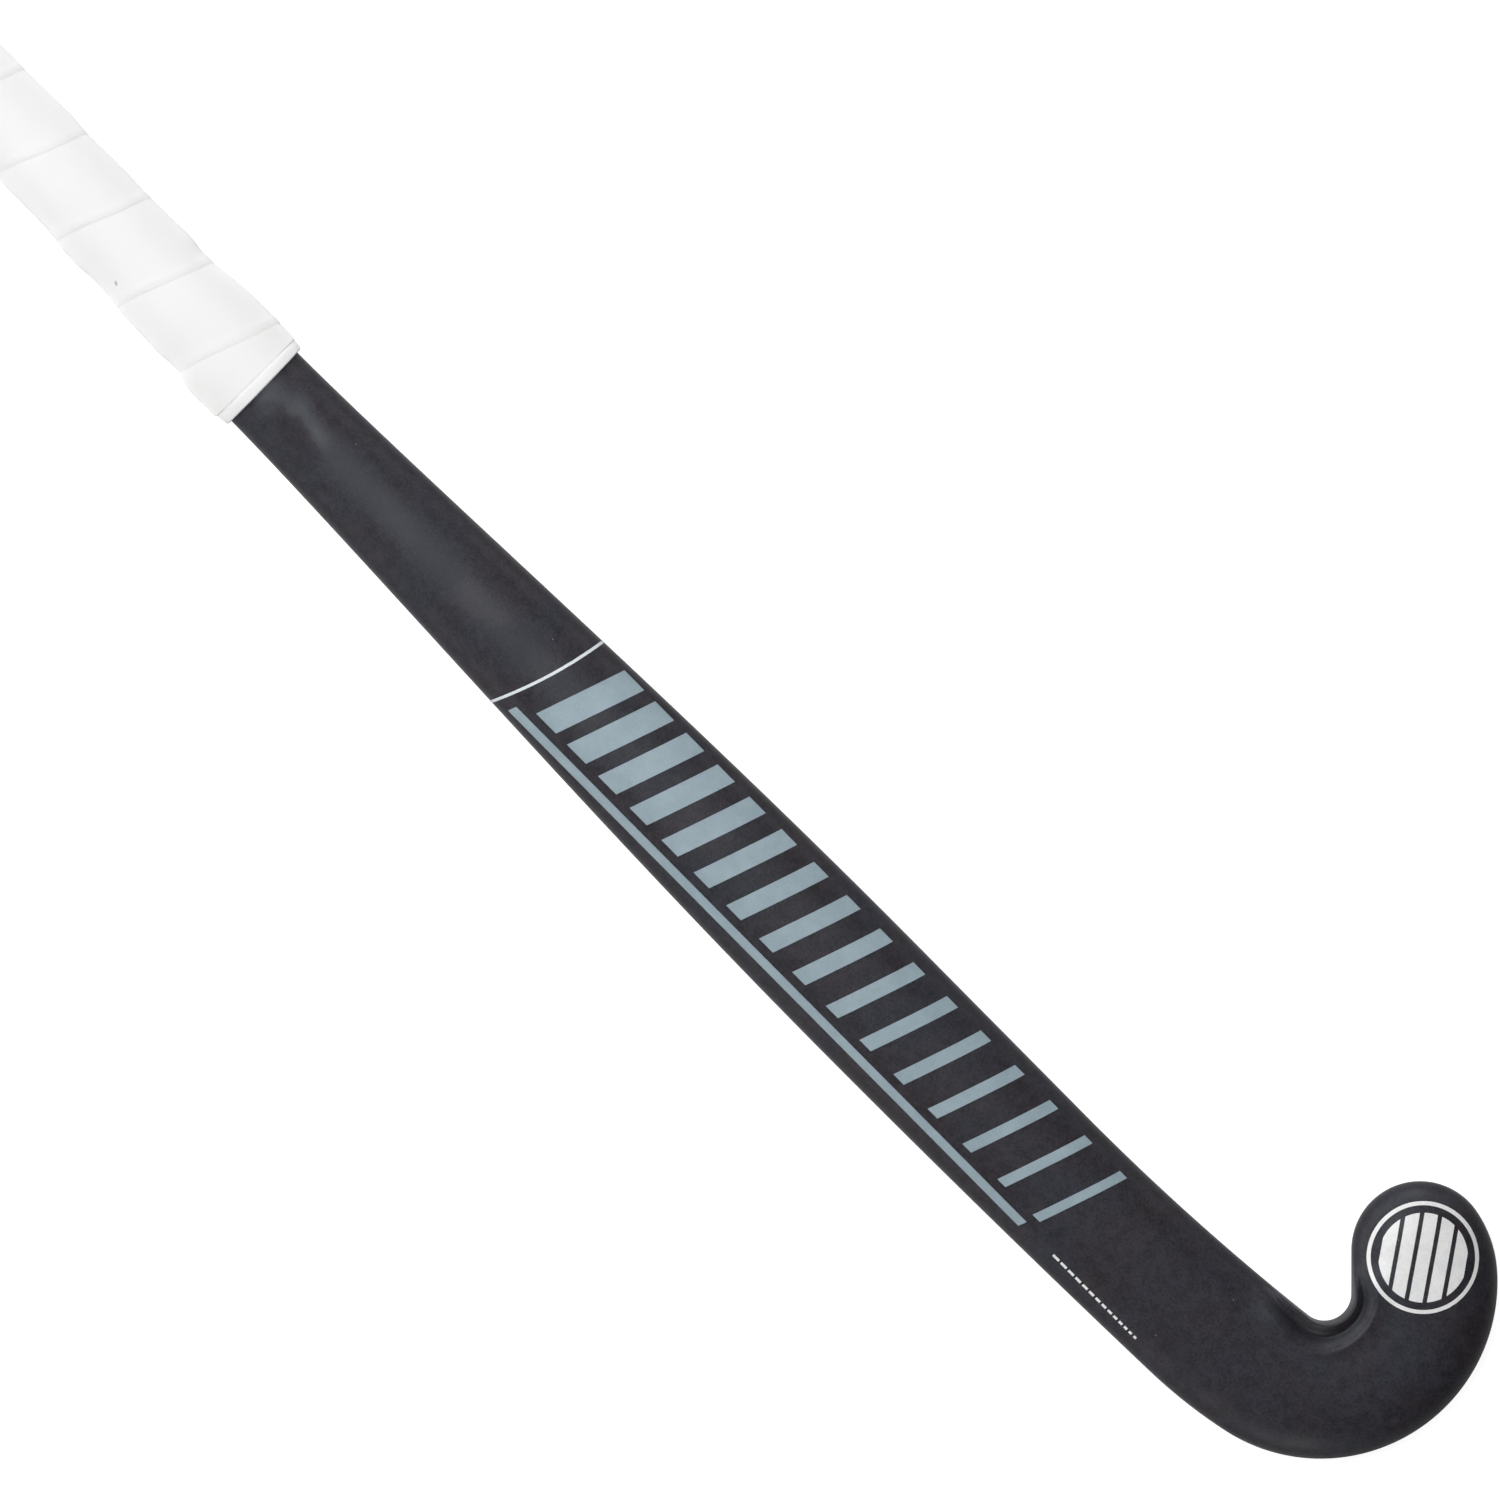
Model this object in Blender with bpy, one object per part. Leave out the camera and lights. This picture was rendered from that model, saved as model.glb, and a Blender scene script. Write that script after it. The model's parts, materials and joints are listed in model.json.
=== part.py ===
import math

import bmesh
import bpy
import numpy as np
from mathutils import Matrix, Vector
from mathutils.geometry import intersect_point_line

# Indoor hockey stick, moulded composite, right-handed.
# Stick coordinates: s runs from the butt to the base of the head, t runs across towards the toe,
# n rises from the flat playing face to the rounded back. The bow bends s and n, and the finished
# stick is then laid on its playing face, back up. All lengths are in metres, angles in degrees.

# Overall lengths
STICK_LENGTH = 0.927
GRIP_LENGTH = 0.379
HANDLE_STRAIGHT = 0.240

# Widths and thicknesses of the bare stick
HANDLE_WIDTH = 0.0275
GRIP_END_WIDTH = 0.0334
SHAFT_WIDTH = 0.0500
TAPER_POWER = 0.8
HANDLE_THICKNESS = 0.0242
GRIP_END_THICKNESS = 0.0228
SHAFT_THICKNESS = 0.0196
HEAD_THICKNESS = 0.0186

# Section: height of the widest line over the face, and how far the roundings reach inwards
EDGE_HEIGHT = 0.0072
FACE_ROUNDING = 0.0050
BACK_ROUNDING = 0.0225
LEAST_ROUNDING = 0.0020
SECTION_POWER = 2.3

# Outer edge of the head: tangent arcs from the heel side round the base to the tip of the toe
FLARE_RADIUS = 5.165
FLARE_TURN = 1.84
HEEL_RADIUS = 0.1854
HEEL_TURN = 10.4
BASE_RADIUS = 0.0622
BASE_TURN = 126.8
TOE_RADIUS = 0.0421
TOE_TURN = 31.1
TIP_RADIUS = 0.0242
TIP_ANGLE = 147.0

# Inner edge of the head: a long throat arc, the crook and the underside of the toe
THROAT_RADIUS = 0.900
THROAT_LENGTH = 0.1047
CROOK_RADIUS = 0.0094
CROOK_TO_BASE = 0.0491

# Bow of the stick, an arc between the straight handle and the straight lower end
BOW_RADIUS = 2.40
BOW_TURN = 5.8
BOW_TO_BASE = 0.375

# Laminate and what it holds
SHELL_WALL = 0.0022
TUBE_WALL = 0.0010
FIT_GAP = 0.0003
WRAP_GAP = 0.0002
CORE_TO_BASE = 0.138
PLUG_LENGTH = 0.032

# End cap
CAP_THICKNESS = 0.0044
CAP_OVERHANG = 0.0030
CAP_EDGE = 0.0014
SPIGOT_LENGTH = 0.024

# Grip: underlay sleeve, wound cushion strip and the band at its lower end
UNDERLAY_THICKNESS = 0.0003
STRIP_THICKNESS = 0.0014
STRIP_END_THICKNESS = 0.0008
STRIP_THINNING = 0.024
STRIP_CROWN = 0.0004
STRIP_SHOULDER = 0.0036
STRIP_PITCH = 0.0316
STRIP_SLIT = 0.0006
STRIP_START_WIDTH = 0.0030
BAND_WIDTH = 0.0040
BAND_THICKNESS = 0.0010

# Where the ribs from the two ends of the toe's underside meet the outer edge, as shares of its
# length from the heel to the tip
CROOK_SHARE = 0.665
UNDERSIDE_SHARE = 0.81

# Mesh fineness
HALF_STEPS = 12
TUBE_STEPS = 5
RIM_STEPS = 3
SHAFT_STEP = 0.028
HANDLE_STEP = 0.080
OUTLINE_STEP = 0.001
LEAST_STEP = 0.001
SHARP_ANGLE = 40.0
HEAD_STEPS = (3, 5, 10, 4, 7)

COLOURS = {
    "lacquer": ((0.030, 0.029, 0.032), 0.55, 0.0),
    "braid": ((0.075, 0.078, 0.070), 0.45, 0.0),
    "braid_light": ((0.120, 0.125, 0.110), 0.45, 0.0),
    "foam": ((0.720, 0.640, 0.420), 0.90, 0.0),
    "cap": ((0.035, 0.035, 0.037), 0.50, 0.0),
    "underlay": ((0.560, 0.560, 0.540), 0.85, 0.0),
    "grip": ((0.850, 0.850, 0.850), 0.60, 0.0),
    "band": ((0.900, 0.900, 0.900), 0.45, 0.0),
}


def smooth(x):
    x = min(max(x, 0.0), 1.0)
    return x * x * (3.0 - 2.0 * x)


def blend(a, b, x):
    return a + (b - a) * smooth(x)


# Paths of lines and arcs. A piece is (x, y, heading, radius, length); a radius of 0 is a line,
# a positive one turns left and a negative one right.

def extend(path, radius, length):
    if path:
        x, y, heading = along(path[-1], path[-1][4])
    else:
        x, y, heading = 0.0, 0.0, 0.0
    path.append((x, y, heading, radius, length))


def along(piece, distance):
    x, y, heading, radius, _ = piece
    if radius == 0.0:
        return x + distance * math.cos(heading), y + distance * math.sin(heading), heading
    turned = heading + distance / radius
    cx = x - radius * math.sin(heading)
    cy = y + radius * math.cos(heading)
    return cx + radius * math.sin(turned), cy - radius * math.cos(turned), turned


def onPath(path, distance):
    for piece in path[:-1]:
        if distance <= piece[4]:
            return along(piece, distance)
        distance -= piece[4]
    return along(path[-1], min(distance, path[-1][4]))


def pathLength(path, pieces):
    return sum(piece[4] for piece in path[:pieces])


def shifted(path, dx, dy):
    return [(x + dx, y + dy, heading, radius, length) for x, y, heading, radius, length in path]


def headOutline():
    # Outer edge, drawn from s = 0 and then moved so that the base of the head ends the stick
    outer = []
    for radius, turn in ((FLARE_RADIUS, FLARE_TURN), (HEEL_RADIUS, HEEL_TURN),
                         (BASE_RADIUS, BASE_TURN), (TOE_RADIUS, TOE_TURN)):
        extend(outer, radius, radius * math.radians(turn))
    toHeading = math.radians(TIP_ANGLE + 90.0) - along(outer[-1], outer[-1][4])[2]
    extend(outer, TIP_RADIUS, TIP_RADIUS * toHeading)
    base = outer[2]
    baseReach = base[0] - BASE_RADIUS * math.sin(base[2]) + BASE_RADIUS
    headStart = STICK_LENGTH - baseReach
    outer = shifted(outer, headStart, -SHAFT_WIDTH / 2)

    tip = outer[-1]
    tipCentre = Vector((tip[0] - TIP_RADIUS * math.sin(tip[2]), tip[1] + TIP_RADIUS * math.cos(tip[2])))
    crookS = STICK_LENGTH - CROOK_TO_BASE - CROOK_RADIUS
    throatRise = math.sqrt((THROAT_RADIUS - CROOK_RADIUS) ** 2 - THROAT_LENGTH ** 2)
    crookCentre = Vector((crookS, SHAFT_WIDTH / 2 + THROAT_RADIUS - throatRise))
    throatTurn = math.asin(THROAT_LENGTH / (THROAT_RADIUS - CROOK_RADIUS))

    # The underside of the toe is the line that touches the crook and the tip on opposite sides
    apart = tipCentre - crookCentre
    lean = min((CROOK_RADIUS + TIP_RADIUS) / apart.length, 1.0)
    heading = math.atan2(apart.y, apart.x) + math.asin(lean)
    underside = apart.length * math.sqrt(1.0 - lean * lean)

    inner = []
    extend(inner, 0.0, crookS - THROAT_LENGTH - headStart)
    extend(inner, THROAT_RADIUS, THROAT_RADIUS * throatTurn)
    extend(inner, CROOK_RADIUS, CROOK_RADIUS * (heading - throatTurn))
    extend(inner, 0.0, underside)
    extend(inner, -TIP_RADIUS, TIP_RADIUS * (heading + math.pi / 2 - math.radians(TIP_ANGLE)))
    return outer, shifted(inner, headStart, SHAFT_WIDTH / 2), headStart


OUTER, INNER, HEAD_START = headOutline()
SHELL_START = CAP_THICKNESS + FIT_GAP
CORE_REACH = STICK_LENGTH - CORE_TO_BASE - HEAD_START


def width(s):
    if s < GRIP_LENGTH:
        return blend(HANDLE_WIDTH, GRIP_END_WIDTH, (s - HANDLE_STRAIGHT) / (GRIP_LENGTH - HANDLE_STRAIGHT))
    run = min((s - GRIP_LENGTH) / (HEAD_START - GRIP_LENGTH), 1.0)
    return blend(GRIP_END_WIDTH, SHAFT_WIDTH, run ** TAPER_POWER)


def thickness(s):
    if s < GRIP_LENGTH:
        return HANDLE_THICKNESS + (GRIP_END_THICKNESS - HANDLE_THICKNESS) * max(s, 0.0) / GRIP_LENGTH
    if s < HEAD_START:
        return blend(GRIP_END_THICKNESS, SHAFT_THICKNESS, (s - GRIP_LENGTH) / (HEAD_START - GRIP_LENGTH))
    return blend(SHAFT_THICKNESS, HEAD_THICKNESS, (s - HEAD_START) / (STICK_LENGTH - HEAD_START))


def flattening(s):
    # 0 on the oval handle, 1 where the section has its full D shape
    return smooth((s - GRIP_LENGTH) / (HEAD_START - GRIP_LENGTH))


def dome(inwards, reach):
    rest = 1.0 - min(max(inwards / reach, 0.0), 1.0)
    return (1.0 - rest ** SECTION_POWER) ** (1.0 / SECTION_POWER)


def heights(s, inwards, inset):
    # Heights of back and face at a plan distance inwards from the edge, on a skin set in by inset
    flat = flattening(s)
    half = width(s) / 2
    top = thickness(s)
    edge = top / 2 + (EDGE_HEIGHT - top / 2) * flat
    backReach = max(half + (BACK_ROUNDING - half) * flat - inset, LEAST_ROUNDING)
    faceReach = max(half + (FACE_ROUNDING - half) * flat - inset, LEAST_ROUNDING)
    back = edge + (top - inset - edge) * dome(inwards - inset, backReach)
    face = edge - (edge - inset) * dome(inwards - inset, faceReach)
    return back, face


# The bow: straight handle, arc, straight lower end, in the plane of s and n

BOW_START = STICK_LENGTH - BOW_TO_BASE - BOW_RADIUS * math.radians(BOW_TURN) / 2
BOW_PATH = []
extend(BOW_PATH, 0.0, BOW_START)
extend(BOW_PATH, -BOW_RADIUS, BOW_RADIUS * math.radians(BOW_TURN))
extend(BOW_PATH, 0.0, STICK_LENGTH)


def place(s, t, n):
    x, z, heading = onPath(BOW_PATH, s)
    if s < 0.0:
        x, z, heading = s, 0.0, 0.0
    return Vector((x - n * math.sin(heading), t, z + n * math.cos(heading)))


# Ribs: pairs of edge points, each with its inward direction, from the butt to the tip of the toe

def shaftRib(s):
    half = width(s) / 2
    return (s, -half, 0.0, 1.0), (s, half, 0.0, -1.0)


def headRib(outerDistance, innerDistance):
    x, y, heading = onPath(OUTER, outerDistance)
    u, v, turned = onPath(INNER, innerDistance)
    return ((x, y, -math.sin(heading), math.cos(heading)),
            (u, v, math.sin(turned), -math.cos(turned)))


def headRibs():
    # The ribs fan round the crook: matched lengths on the two edges at the ends of each stretch
    heel, end = pathLength(OUTER, 2), pathLength(OUTER, 5)
    outerStops = [0.0, CORE_REACH] + [heel + (end - heel) * share
                                      for share in (0.0, CROOK_SHARE, UNDERSIDE_SHARE, 1.0)]
    innerStops = [0.0, CORE_REACH] + [pathLength(INNER, pieces) for pieces in (2, 3, 4, 5)]
    ribs = []
    for i, count in enumerate(HEAD_STEPS):
        for step in range(1, count + 1):
            f = step / count
            ribs.append(headRib(outerStops[i] + (outerStops[i + 1] - outerStops[i]) * f,
                                innerStops[i] + (innerStops[i + 1] - innerStops[i]) * f))
    return ribs


def steps(start, end, size):
    count = max(1, round((end - start) / size))
    return [start + (end - start) * i / count for i in range(count + 1)]


def shaftStations(start, end):
    stations = []
    for a, b, size in ((start, min(HANDLE_STRAIGHT, end), HANDLE_STEP),
                       (HANDLE_STRAIGHT, min(GRIP_LENGTH, end), SHAFT_STEP),
                       (GRIP_LENGTH, end, SHAFT_STEP)):
        if b - a > LEAST_STEP:
            stations += [s for s in steps(a, b, size) if not stations or s - stations[-1] > LEAST_STEP]
    return stations


def edgeLine():
    # The plan outline of the whole stick as short chords, to measure how far inwards a point is
    shaft = [shaftRib(s) for s in steps(-SHAFT_WIDTH, HEAD_START, 4 * OUTLINE_STEP)]
    heelSide = [rib[0][:2] for rib in shaft]
    toeSide = [rib[1][:2] for rib in shaft]
    heelSide += [onPath(OUTER, d)[:2] for d in steps(0.0, pathLength(OUTER, 5), OUTLINE_STEP)]
    toeSide += [onPath(INNER, d)[:2] for d in steps(0.0, pathLength(INNER, 5), OUTLINE_STEP / 2)]
    return np.array(heelSide + toeSide[::-1])


EDGE_LINE = edgeLine()


def inwards(s, t):
    start = EDGE_LINE[:-1]
    run = EDGE_LINE[1:] - start
    offset = np.array((s, t)) - start
    share = np.clip((offset * run).sum(axis=1) / np.maximum((run * run).sum(axis=1), 1e-12), 0.0, 1.0)
    return float(np.sqrt(((offset - run * share[:, None]) ** 2).sum(axis=1).min()))


def ribLoop(rib, inset):
    # One closed section: over the back from the heel side to the toe side, back along the face
    a, b = rib
    ax, ay = a[0] + a[2] * inset, a[1] + a[3] * inset
    bx, by = b[0] + b[2] * inset, b[1] + b[3] * inset
    over, under = [], []
    for i in range(HALF_STEPS + 1):
        f = (1.0 - math.cos(math.pi * i / HALF_STEPS)) / 2
        s, t = ax + (bx - ax) * f, ay + (by - ay) * f
        deep = inset if i in (0, HALF_STEPS) else inwards(s, t)
        back, face = heights(s, deep, inset)
        over.append(place(s, t, back))
        under.append(place(s, t, face))
    return over + under[-2:0:-1]


def ribPole(rib, inset):
    a = rib[0]
    s, t = a[0] + a[2] * inset, a[1] + a[3] * inset
    return place(s, t, heights(s, inset, inset)[0])


def ring(s, offset, at=None):
    # One closed section of the oval handle, set outwards by offset, for what is fitted round it
    half = width(s) / 2 + offset
    middle = thickness(s) / 2
    high = middle + offset
    turns = range(2 * HALF_STEPS) if at is None else (at,)
    points = []
    for i in turns:
        angle = math.pi * i / HALF_STEPS - math.pi / 2
        across = math.sin(angle)
        up = (1.0 - min(abs(across), 1.0) ** SECTION_POWER) ** (1.0 / SECTION_POWER)
        points.append(place(s, half * across, middle + math.copysign(high * up, math.cos(angle))))
    return points if at is None else points[0]


def cellLoop(rib, side, inset, wall):
    # Section of one inner cell, from its outer edge to its straight wall beside the middle
    s, edge, _, inner = rib[0] if side < 0 else rib[1]
    start, end = edge + inner * inset, side * wall
    over, under = [], []
    for i in range(TUBE_STEPS + 1):
        t = start + (end - start) * (1.0 - math.cos(math.pi / 2 * i / TUBE_STEPS))
        back, face = heights(s, abs(edge - t), inset)
        over.append(place(s, t, back))
        under.append(place(s, t, face))
    return over + under[:0:-1]


# Building meshes

def finish(name, bm, colour):
    bmesh.ops.recalc_face_normals(bm, faces=bm.faces)
    mesh = bpy.data.meshes.new(name)
    bm.to_mesh(mesh)
    bm.free()
    mesh.materials.append(materials[colour])
    mesh.shade_smooth()
    mesh.set_sharp_from_angle(angle=math.radians(SHARP_ANGLE))
    obj = bpy.data.objects.new(name, mesh)
    collection.objects.link(obj)
    obj.parent = root
    return obj


def bridge(bm, first, second):
    count = len(first)
    for i in range(count):
        j = (i + 1) % count
        bm.faces.new((first[i], first[j], second[j], second[i]))


def skin(bm, loops, pole=None):
    rows = [[bm.verts.new(point) for point in loop] for loop in loops]
    for first, second in zip(rows, rows[1:]):
        bridge(bm, first, second)
    if pole is not None:
        top = bm.verts.new(pole)
        last = rows[-1]
        for i in range(len(last)):
            bm.faces.new((last[i], last[(i + 1) % len(last)], top))
    return rows


def solid(name, colour, loops, pole=None):
    bm = bmesh.new()
    rows = skin(bm, loops, pole)
    bm.faces.new(rows[0])
    if pole is None:
        bm.faces.new(rows[-1])
    return finish(name, bm, colour)


def sleeve(name, colour, outerLoops, innerLoops):
    bm = bmesh.new()
    outer = skin(bm, outerLoops)
    inner = skin(bm, innerLoops)
    bridge(bm, outer[0], inner[0])
    bridge(bm, outer[-1], inner[-1])
    return finish(name, bm, colour)


def makeShell():
    # Laminate skin of the whole stick, open at the butt
    ribs = [shaftRib(s) for s in shaftStations(SHELL_START, HEAD_START)] + headRibs()
    bm = bmesh.new()
    outer = skin(bm, [ribLoop(rib, 0.0) for rib in ribs[:-1]], ribPole(ribs[-1], 0.0))
    inner = skin(bm, [ribLoop(rib, SHELL_WALL) for rib in ribs[:-1]], ribPole(ribs[-1], SHELL_WALL))
    bridge(bm, outer[0], inner[0])
    return finish("outer_shell", bm, "lacquer")


def makeCells():
    # Two braided tubes side by side; the walls between them are the rib of the stick
    start = SHELL_START + SPIGOT_LENGTH + PLUG_LENGTH + 2 * FIT_GAP
    ribs = [shaftRib(s) for s in shaftStations(start, HEAD_START)]
    ribs += [headRib(d, d) for d in steps(0.0, CORE_REACH - FIT_GAP, SHAFT_STEP)[1:]]
    outside = SHELL_WALL + FIT_GAP
    middle = FIT_GAP / 2
    for name, side, colour in (("heel_side_tube", -1, "braid"), ("toe_side_tube", 1, "braid_light")):
        sleeve(name, colour,
               [cellLoop(rib, side, outside, middle) for rib in ribs],
               [cellLoop(rib, side, outside + TUBE_WALL, middle + TUBE_WALL) for rib in ribs])


def makeCore():
    # Foam that fills the shell from the lower shaft to the toe
    inset = SHELL_WALL + FIT_GAP
    ribs = headRibs()[HEAD_STEPS[0] - 1:]
    return solid("head_core", "foam", [ribLoop(rib, inset) for rib in ribs[:-1]], ribPole(ribs[-1], inset))


def makeButt():
    # Foam plug in the mouth of the shell, and the cap whose spigot holds against it
    inset = -(SHELL_WALL + FIT_GAP)
    spigotEnd = SHELL_START + SPIGOT_LENGTH
    solid("butt_foam_plug", "foam",
          [ring(s, inset) for s in steps(spigotEnd + FIT_GAP, spigotEnd + FIT_GAP + PLUG_LENGTH, SHAFT_STEP)])
    profile = []
    for i in range(RIM_STEPS + 1):
        angle = math.pi / 2 * i / RIM_STEPS
        offset = CAP_OVERHANG - CAP_EDGE * (1.0 - math.sin(angle))
        profile.append((CAP_EDGE * (1.0 - math.cos(angle)), offset))
    profile += [(CAP_THICKNESS, CAP_OVERHANG), (CAP_THICKNESS, inset), (spigotEnd, inset)]
    solid("end_cap", "cap", [ring(s, offset) for s, offset in profile])


def makeUnderlay():
    outside = WRAP_GAP + UNDERLAY_THICKNESS
    stations = shaftStations(SHELL_START, GRIP_LENGTH - BAND_WIDTH - FIT_GAP)
    sleeve("grip_underlay", "underlay",
           [ring(s, outside) for s in stations], [ring(s, WRAP_GAP) for s in stations])


def makeBand():
    stations = [GRIP_LENGTH - BAND_WIDTH, GRIP_LENGTH]
    sleeve("finishing_band", "band",
           [ring(s, WRAP_GAP + BAND_THICKNESS) for s in stations], [ring(s, WRAP_GAP) for s in stations])


def stripHeight(s):
    # The strip is stretched thin where it runs out at the band
    return blend(STRIP_THICKNESS, STRIP_END_THICKNESS, (s - GRIP_LENGTH + STRIP_THINNING) / STRIP_THINNING)


def gapToLine(point, a, b):
    nearest, share = intersect_point_line(point, a, b)
    return (point - a.lerp(b, min(max(share, 0.0), 1.0))).length


def makeGrip():
    # One unbroken strip wound on the underlay. Its two edges follow the helix and are cut square
    # at the cap and at the band, so it starts and ends as a wedge, as a wound grip does.
    inside = 2 * WRAP_GAP + UNDERLAY_THICKNESS
    top, bottom = SHELL_START, GRIP_LENGTH - BAND_WIDTH - FIT_GAP
    perTurn = 2 * HALF_STEPS
    full = STRIP_PITCH - STRIP_SLIT
    edge = STRIP_CROWN / STRIP_THICKNESS
    first = math.ceil((STRIP_START_WIDTH - full) / STRIP_PITCH * perTurn)
    last = math.floor((bottom - top - STRIP_START_WIDTH) / STRIP_PITCH * perTurn)
    sections = []
    for i in range(first, last + 1):
        lead = top + STRIP_PITCH * i / perTurn
        upper, lower = max(lead, top), min(lead + full, bottom)
        strip = lower - upper
        shoulder = STRIP_SHOULDER * strip / full
        shape = ((0.0, 0.0), (0.0, 1.0 - edge), (shoulder, 1.0), (strip / 2, 1.0 + edge * strip / full),
                 (strip - shoulder, 1.0), (strip, 1.0 - edge), (strip, 0.0), (strip / 2, 0.0))
        sections.append([ring(upper + run, inside + rise * stripHeight(upper + run), i % perTurn)
                         for run, rise in shape])
    gap = min(gapToLine(sections[i + perTurn][upper], sections[i + k][lower], sections[i + k + 1][lower])
              for i in range(1, len(sections) - perTurn) for k in (-1, 0)
              for upper, lower in ((1, 5), (0, 6)))
    print("cushion_grip: %.1f turns, least gap to itself %.2f mm" % ((last - first) / perTurn, gap * 1000))
    return solid("cushion_grip", "grip", sections)


def centreOfVolume(obj):
    bm = bmesh.new()
    bm.from_mesh(obj.data)
    total, moment = 0.0, Vector()
    for a, b, c in bm.calc_loop_triangles():
        volume = a.vert.co.dot(b.vert.co.cross(c.vert.co)) / 6
        total += volume
        moment += volume * (a.vert.co + b.vert.co + c.vert.co) / 4
    bm.free()
    return moment / total


def layDown(shell):
    # Turns the stick onto the facet of its hull that lies below its centre, where it rests
    pieces = [obj for obj in collection.objects if obj.type == "MESH"]
    hull = bmesh.new()
    for obj in pieces:
        for vertex in obj.data.vertices:
            hull.verts.new(vertex.co)
    made = bmesh.ops.convex_hull(hull, input=hull.verts, use_existing_faces=False)
    hull.normal_update()
    middle = centreOfVolume(shell)
    resting = None
    for face in (item for item in made["geom"] if isinstance(item, bmesh.types.BMFace)):
        corners = [vertex.co.copy() for vertex in face.verts]
        normal = face.normal.copy()
        if normal.dot(face.calc_center_median() - middle) < 0:
            normal.negate()
        if normal.z > 0:
            continue
        turns = [(corners[(i + 1) % len(corners)] - corners[i]).xy.cross((middle - corners[i]).xy)
                 for i in range(len(corners))]
        if all(turn >= 0 for turn in turns) or all(turn <= 0 for turn in turns):
            resting = normal
    hull.free()
    turn = resting.rotation_difference(Vector((0.0, 0.0, -1.0))).to_matrix()
    placed = [turn @ vertex.co for obj in pieces for vertex in obj.data.vertices]
    low = Vector([min(point[axis] for point in placed) for axis in range(3)])
    high = Vector([max(point[axis] for point in placed) for axis in range(3)])
    shift = -Vector(((low.x + high.x) / 2, (low.y + high.y) / 2, low.z))
    root.matrix_world = Matrix.Translation(shift) @ turn.to_4x4()


for old in list(bpy.data.objects):
    bpy.data.objects.remove(old, do_unlink=True)

collection = bpy.data.collections.new("indoor_hockey_stick")
bpy.context.scene.collection.children.link(collection)
root = bpy.data.objects.new("stick_root", None)
collection.objects.link(root)

materials = {}
for label, (colour, roughness, metallic) in COLOURS.items():
    material = bpy.data.materials.new(label)
    material.use_nodes = True
    shader = material.node_tree.nodes["Principled BSDF"]
    shader.inputs["Base Color"].default_value = (*colour, 1.0)
    shader.inputs["Roughness"].default_value = roughness
    shader.inputs["Metallic"].default_value = metallic
    materials[label] = material

shell = makeShell()
makeCells()
makeCore()
makeButt()
makeUnderlay()
makeBand()
makeGrip()
layDown(shell)
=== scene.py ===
import json
import math
from contextlib import contextmanager

import bmesh
import bpy
import numpy as np
from mathutils import Matrix, Vector

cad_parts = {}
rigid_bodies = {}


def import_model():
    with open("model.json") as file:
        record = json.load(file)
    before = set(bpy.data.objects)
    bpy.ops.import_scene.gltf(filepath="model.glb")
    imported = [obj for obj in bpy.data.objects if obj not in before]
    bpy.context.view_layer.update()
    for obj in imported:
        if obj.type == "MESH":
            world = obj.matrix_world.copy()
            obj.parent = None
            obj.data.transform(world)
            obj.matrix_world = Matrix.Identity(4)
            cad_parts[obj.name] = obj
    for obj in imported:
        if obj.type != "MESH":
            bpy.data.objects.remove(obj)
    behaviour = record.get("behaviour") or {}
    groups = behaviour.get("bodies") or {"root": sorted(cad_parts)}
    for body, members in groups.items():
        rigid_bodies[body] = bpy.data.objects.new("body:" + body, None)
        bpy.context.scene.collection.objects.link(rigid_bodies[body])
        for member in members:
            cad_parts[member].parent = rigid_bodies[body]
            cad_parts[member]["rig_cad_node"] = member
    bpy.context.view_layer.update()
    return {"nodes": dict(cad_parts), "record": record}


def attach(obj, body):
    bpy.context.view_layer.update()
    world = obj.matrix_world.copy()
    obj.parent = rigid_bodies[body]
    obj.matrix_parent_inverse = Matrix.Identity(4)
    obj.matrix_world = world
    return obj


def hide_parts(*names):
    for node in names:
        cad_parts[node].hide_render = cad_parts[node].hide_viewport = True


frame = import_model()
record = frame["record"]

# Indoor hockey stick, lying on its playing face. Shapes are worked out in stick coordinates:
# s runs from the butt to the head, t across towards the toe, n from the playing face to the
# rounded back. Lengths are in metres and angles in degrees.

stick = {
    "length": 0.927,
    "gripLength": 0.379,
    "handleStraight": 0.240,
    "handleWidth": 0.0275,
    "gripEndWidth": 0.0334,
    "shaftWidth": 0.0500,
    "taperPower": 0.8,
    "handleThickness": 0.0242,
    "gripEndThickness": 0.0228,
    "shaftThickness": 0.0196,
    "headThickness": 0.0186,
    "edgeHeight": 0.0072,
    "faceRounding": 0.0050,
    "backRounding": 0.0225,
    "leastRounding": 0.0020,
    "sectionPower": 2.3,
    "bowRadius": 2.40,
    "bowTurn": 5.8,
    "bowToBase": 0.375,
    "flatStation": 0.80,
    "wall": 0.0022,
    "fitGap": 0.0003,
}

# Outline of the head: radius and turn of each arc on the outer edge, then the inner edge
head = {
    "outerArcs": ((5.165, 1.84), (0.1854, 10.4), (0.0622, 126.8), (0.0421, 31.1)),
    "tipRadius": 0.0242,
    "tipAngle": 147.0,
    "throatRadius": 0.900,
    "throatLength": 0.1047,
    "crookRadius": 0.0094,
    "crookToBase": 0.0491,
    "coreToBase": 0.138,
    "crookShare": 0.665,
    "undersideShare": 0.81,
}


def smooth(x):
    x = np.clip(x, 0.0, 1.0)
    return x * x * (3.0 - 2.0 * x)


def mix(a, b, x):
    return a + (b - a) * x


def blend(a, b, x):
    return mix(a, b, smooth(x))


def cosSin(degrees):
    angle = math.radians(degrees)
    return math.cos(angle), math.sin(angle)


# Paths of lines and arcs: (x, y, heading, radius, length), where a radius of 0 is a line

def extend(path, radius, length):
    x, y, heading = along(path[-1], path[-1][4]) if path else (0.0, 0.0, 0.0)
    path.append((x, y, heading, radius, length))


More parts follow.
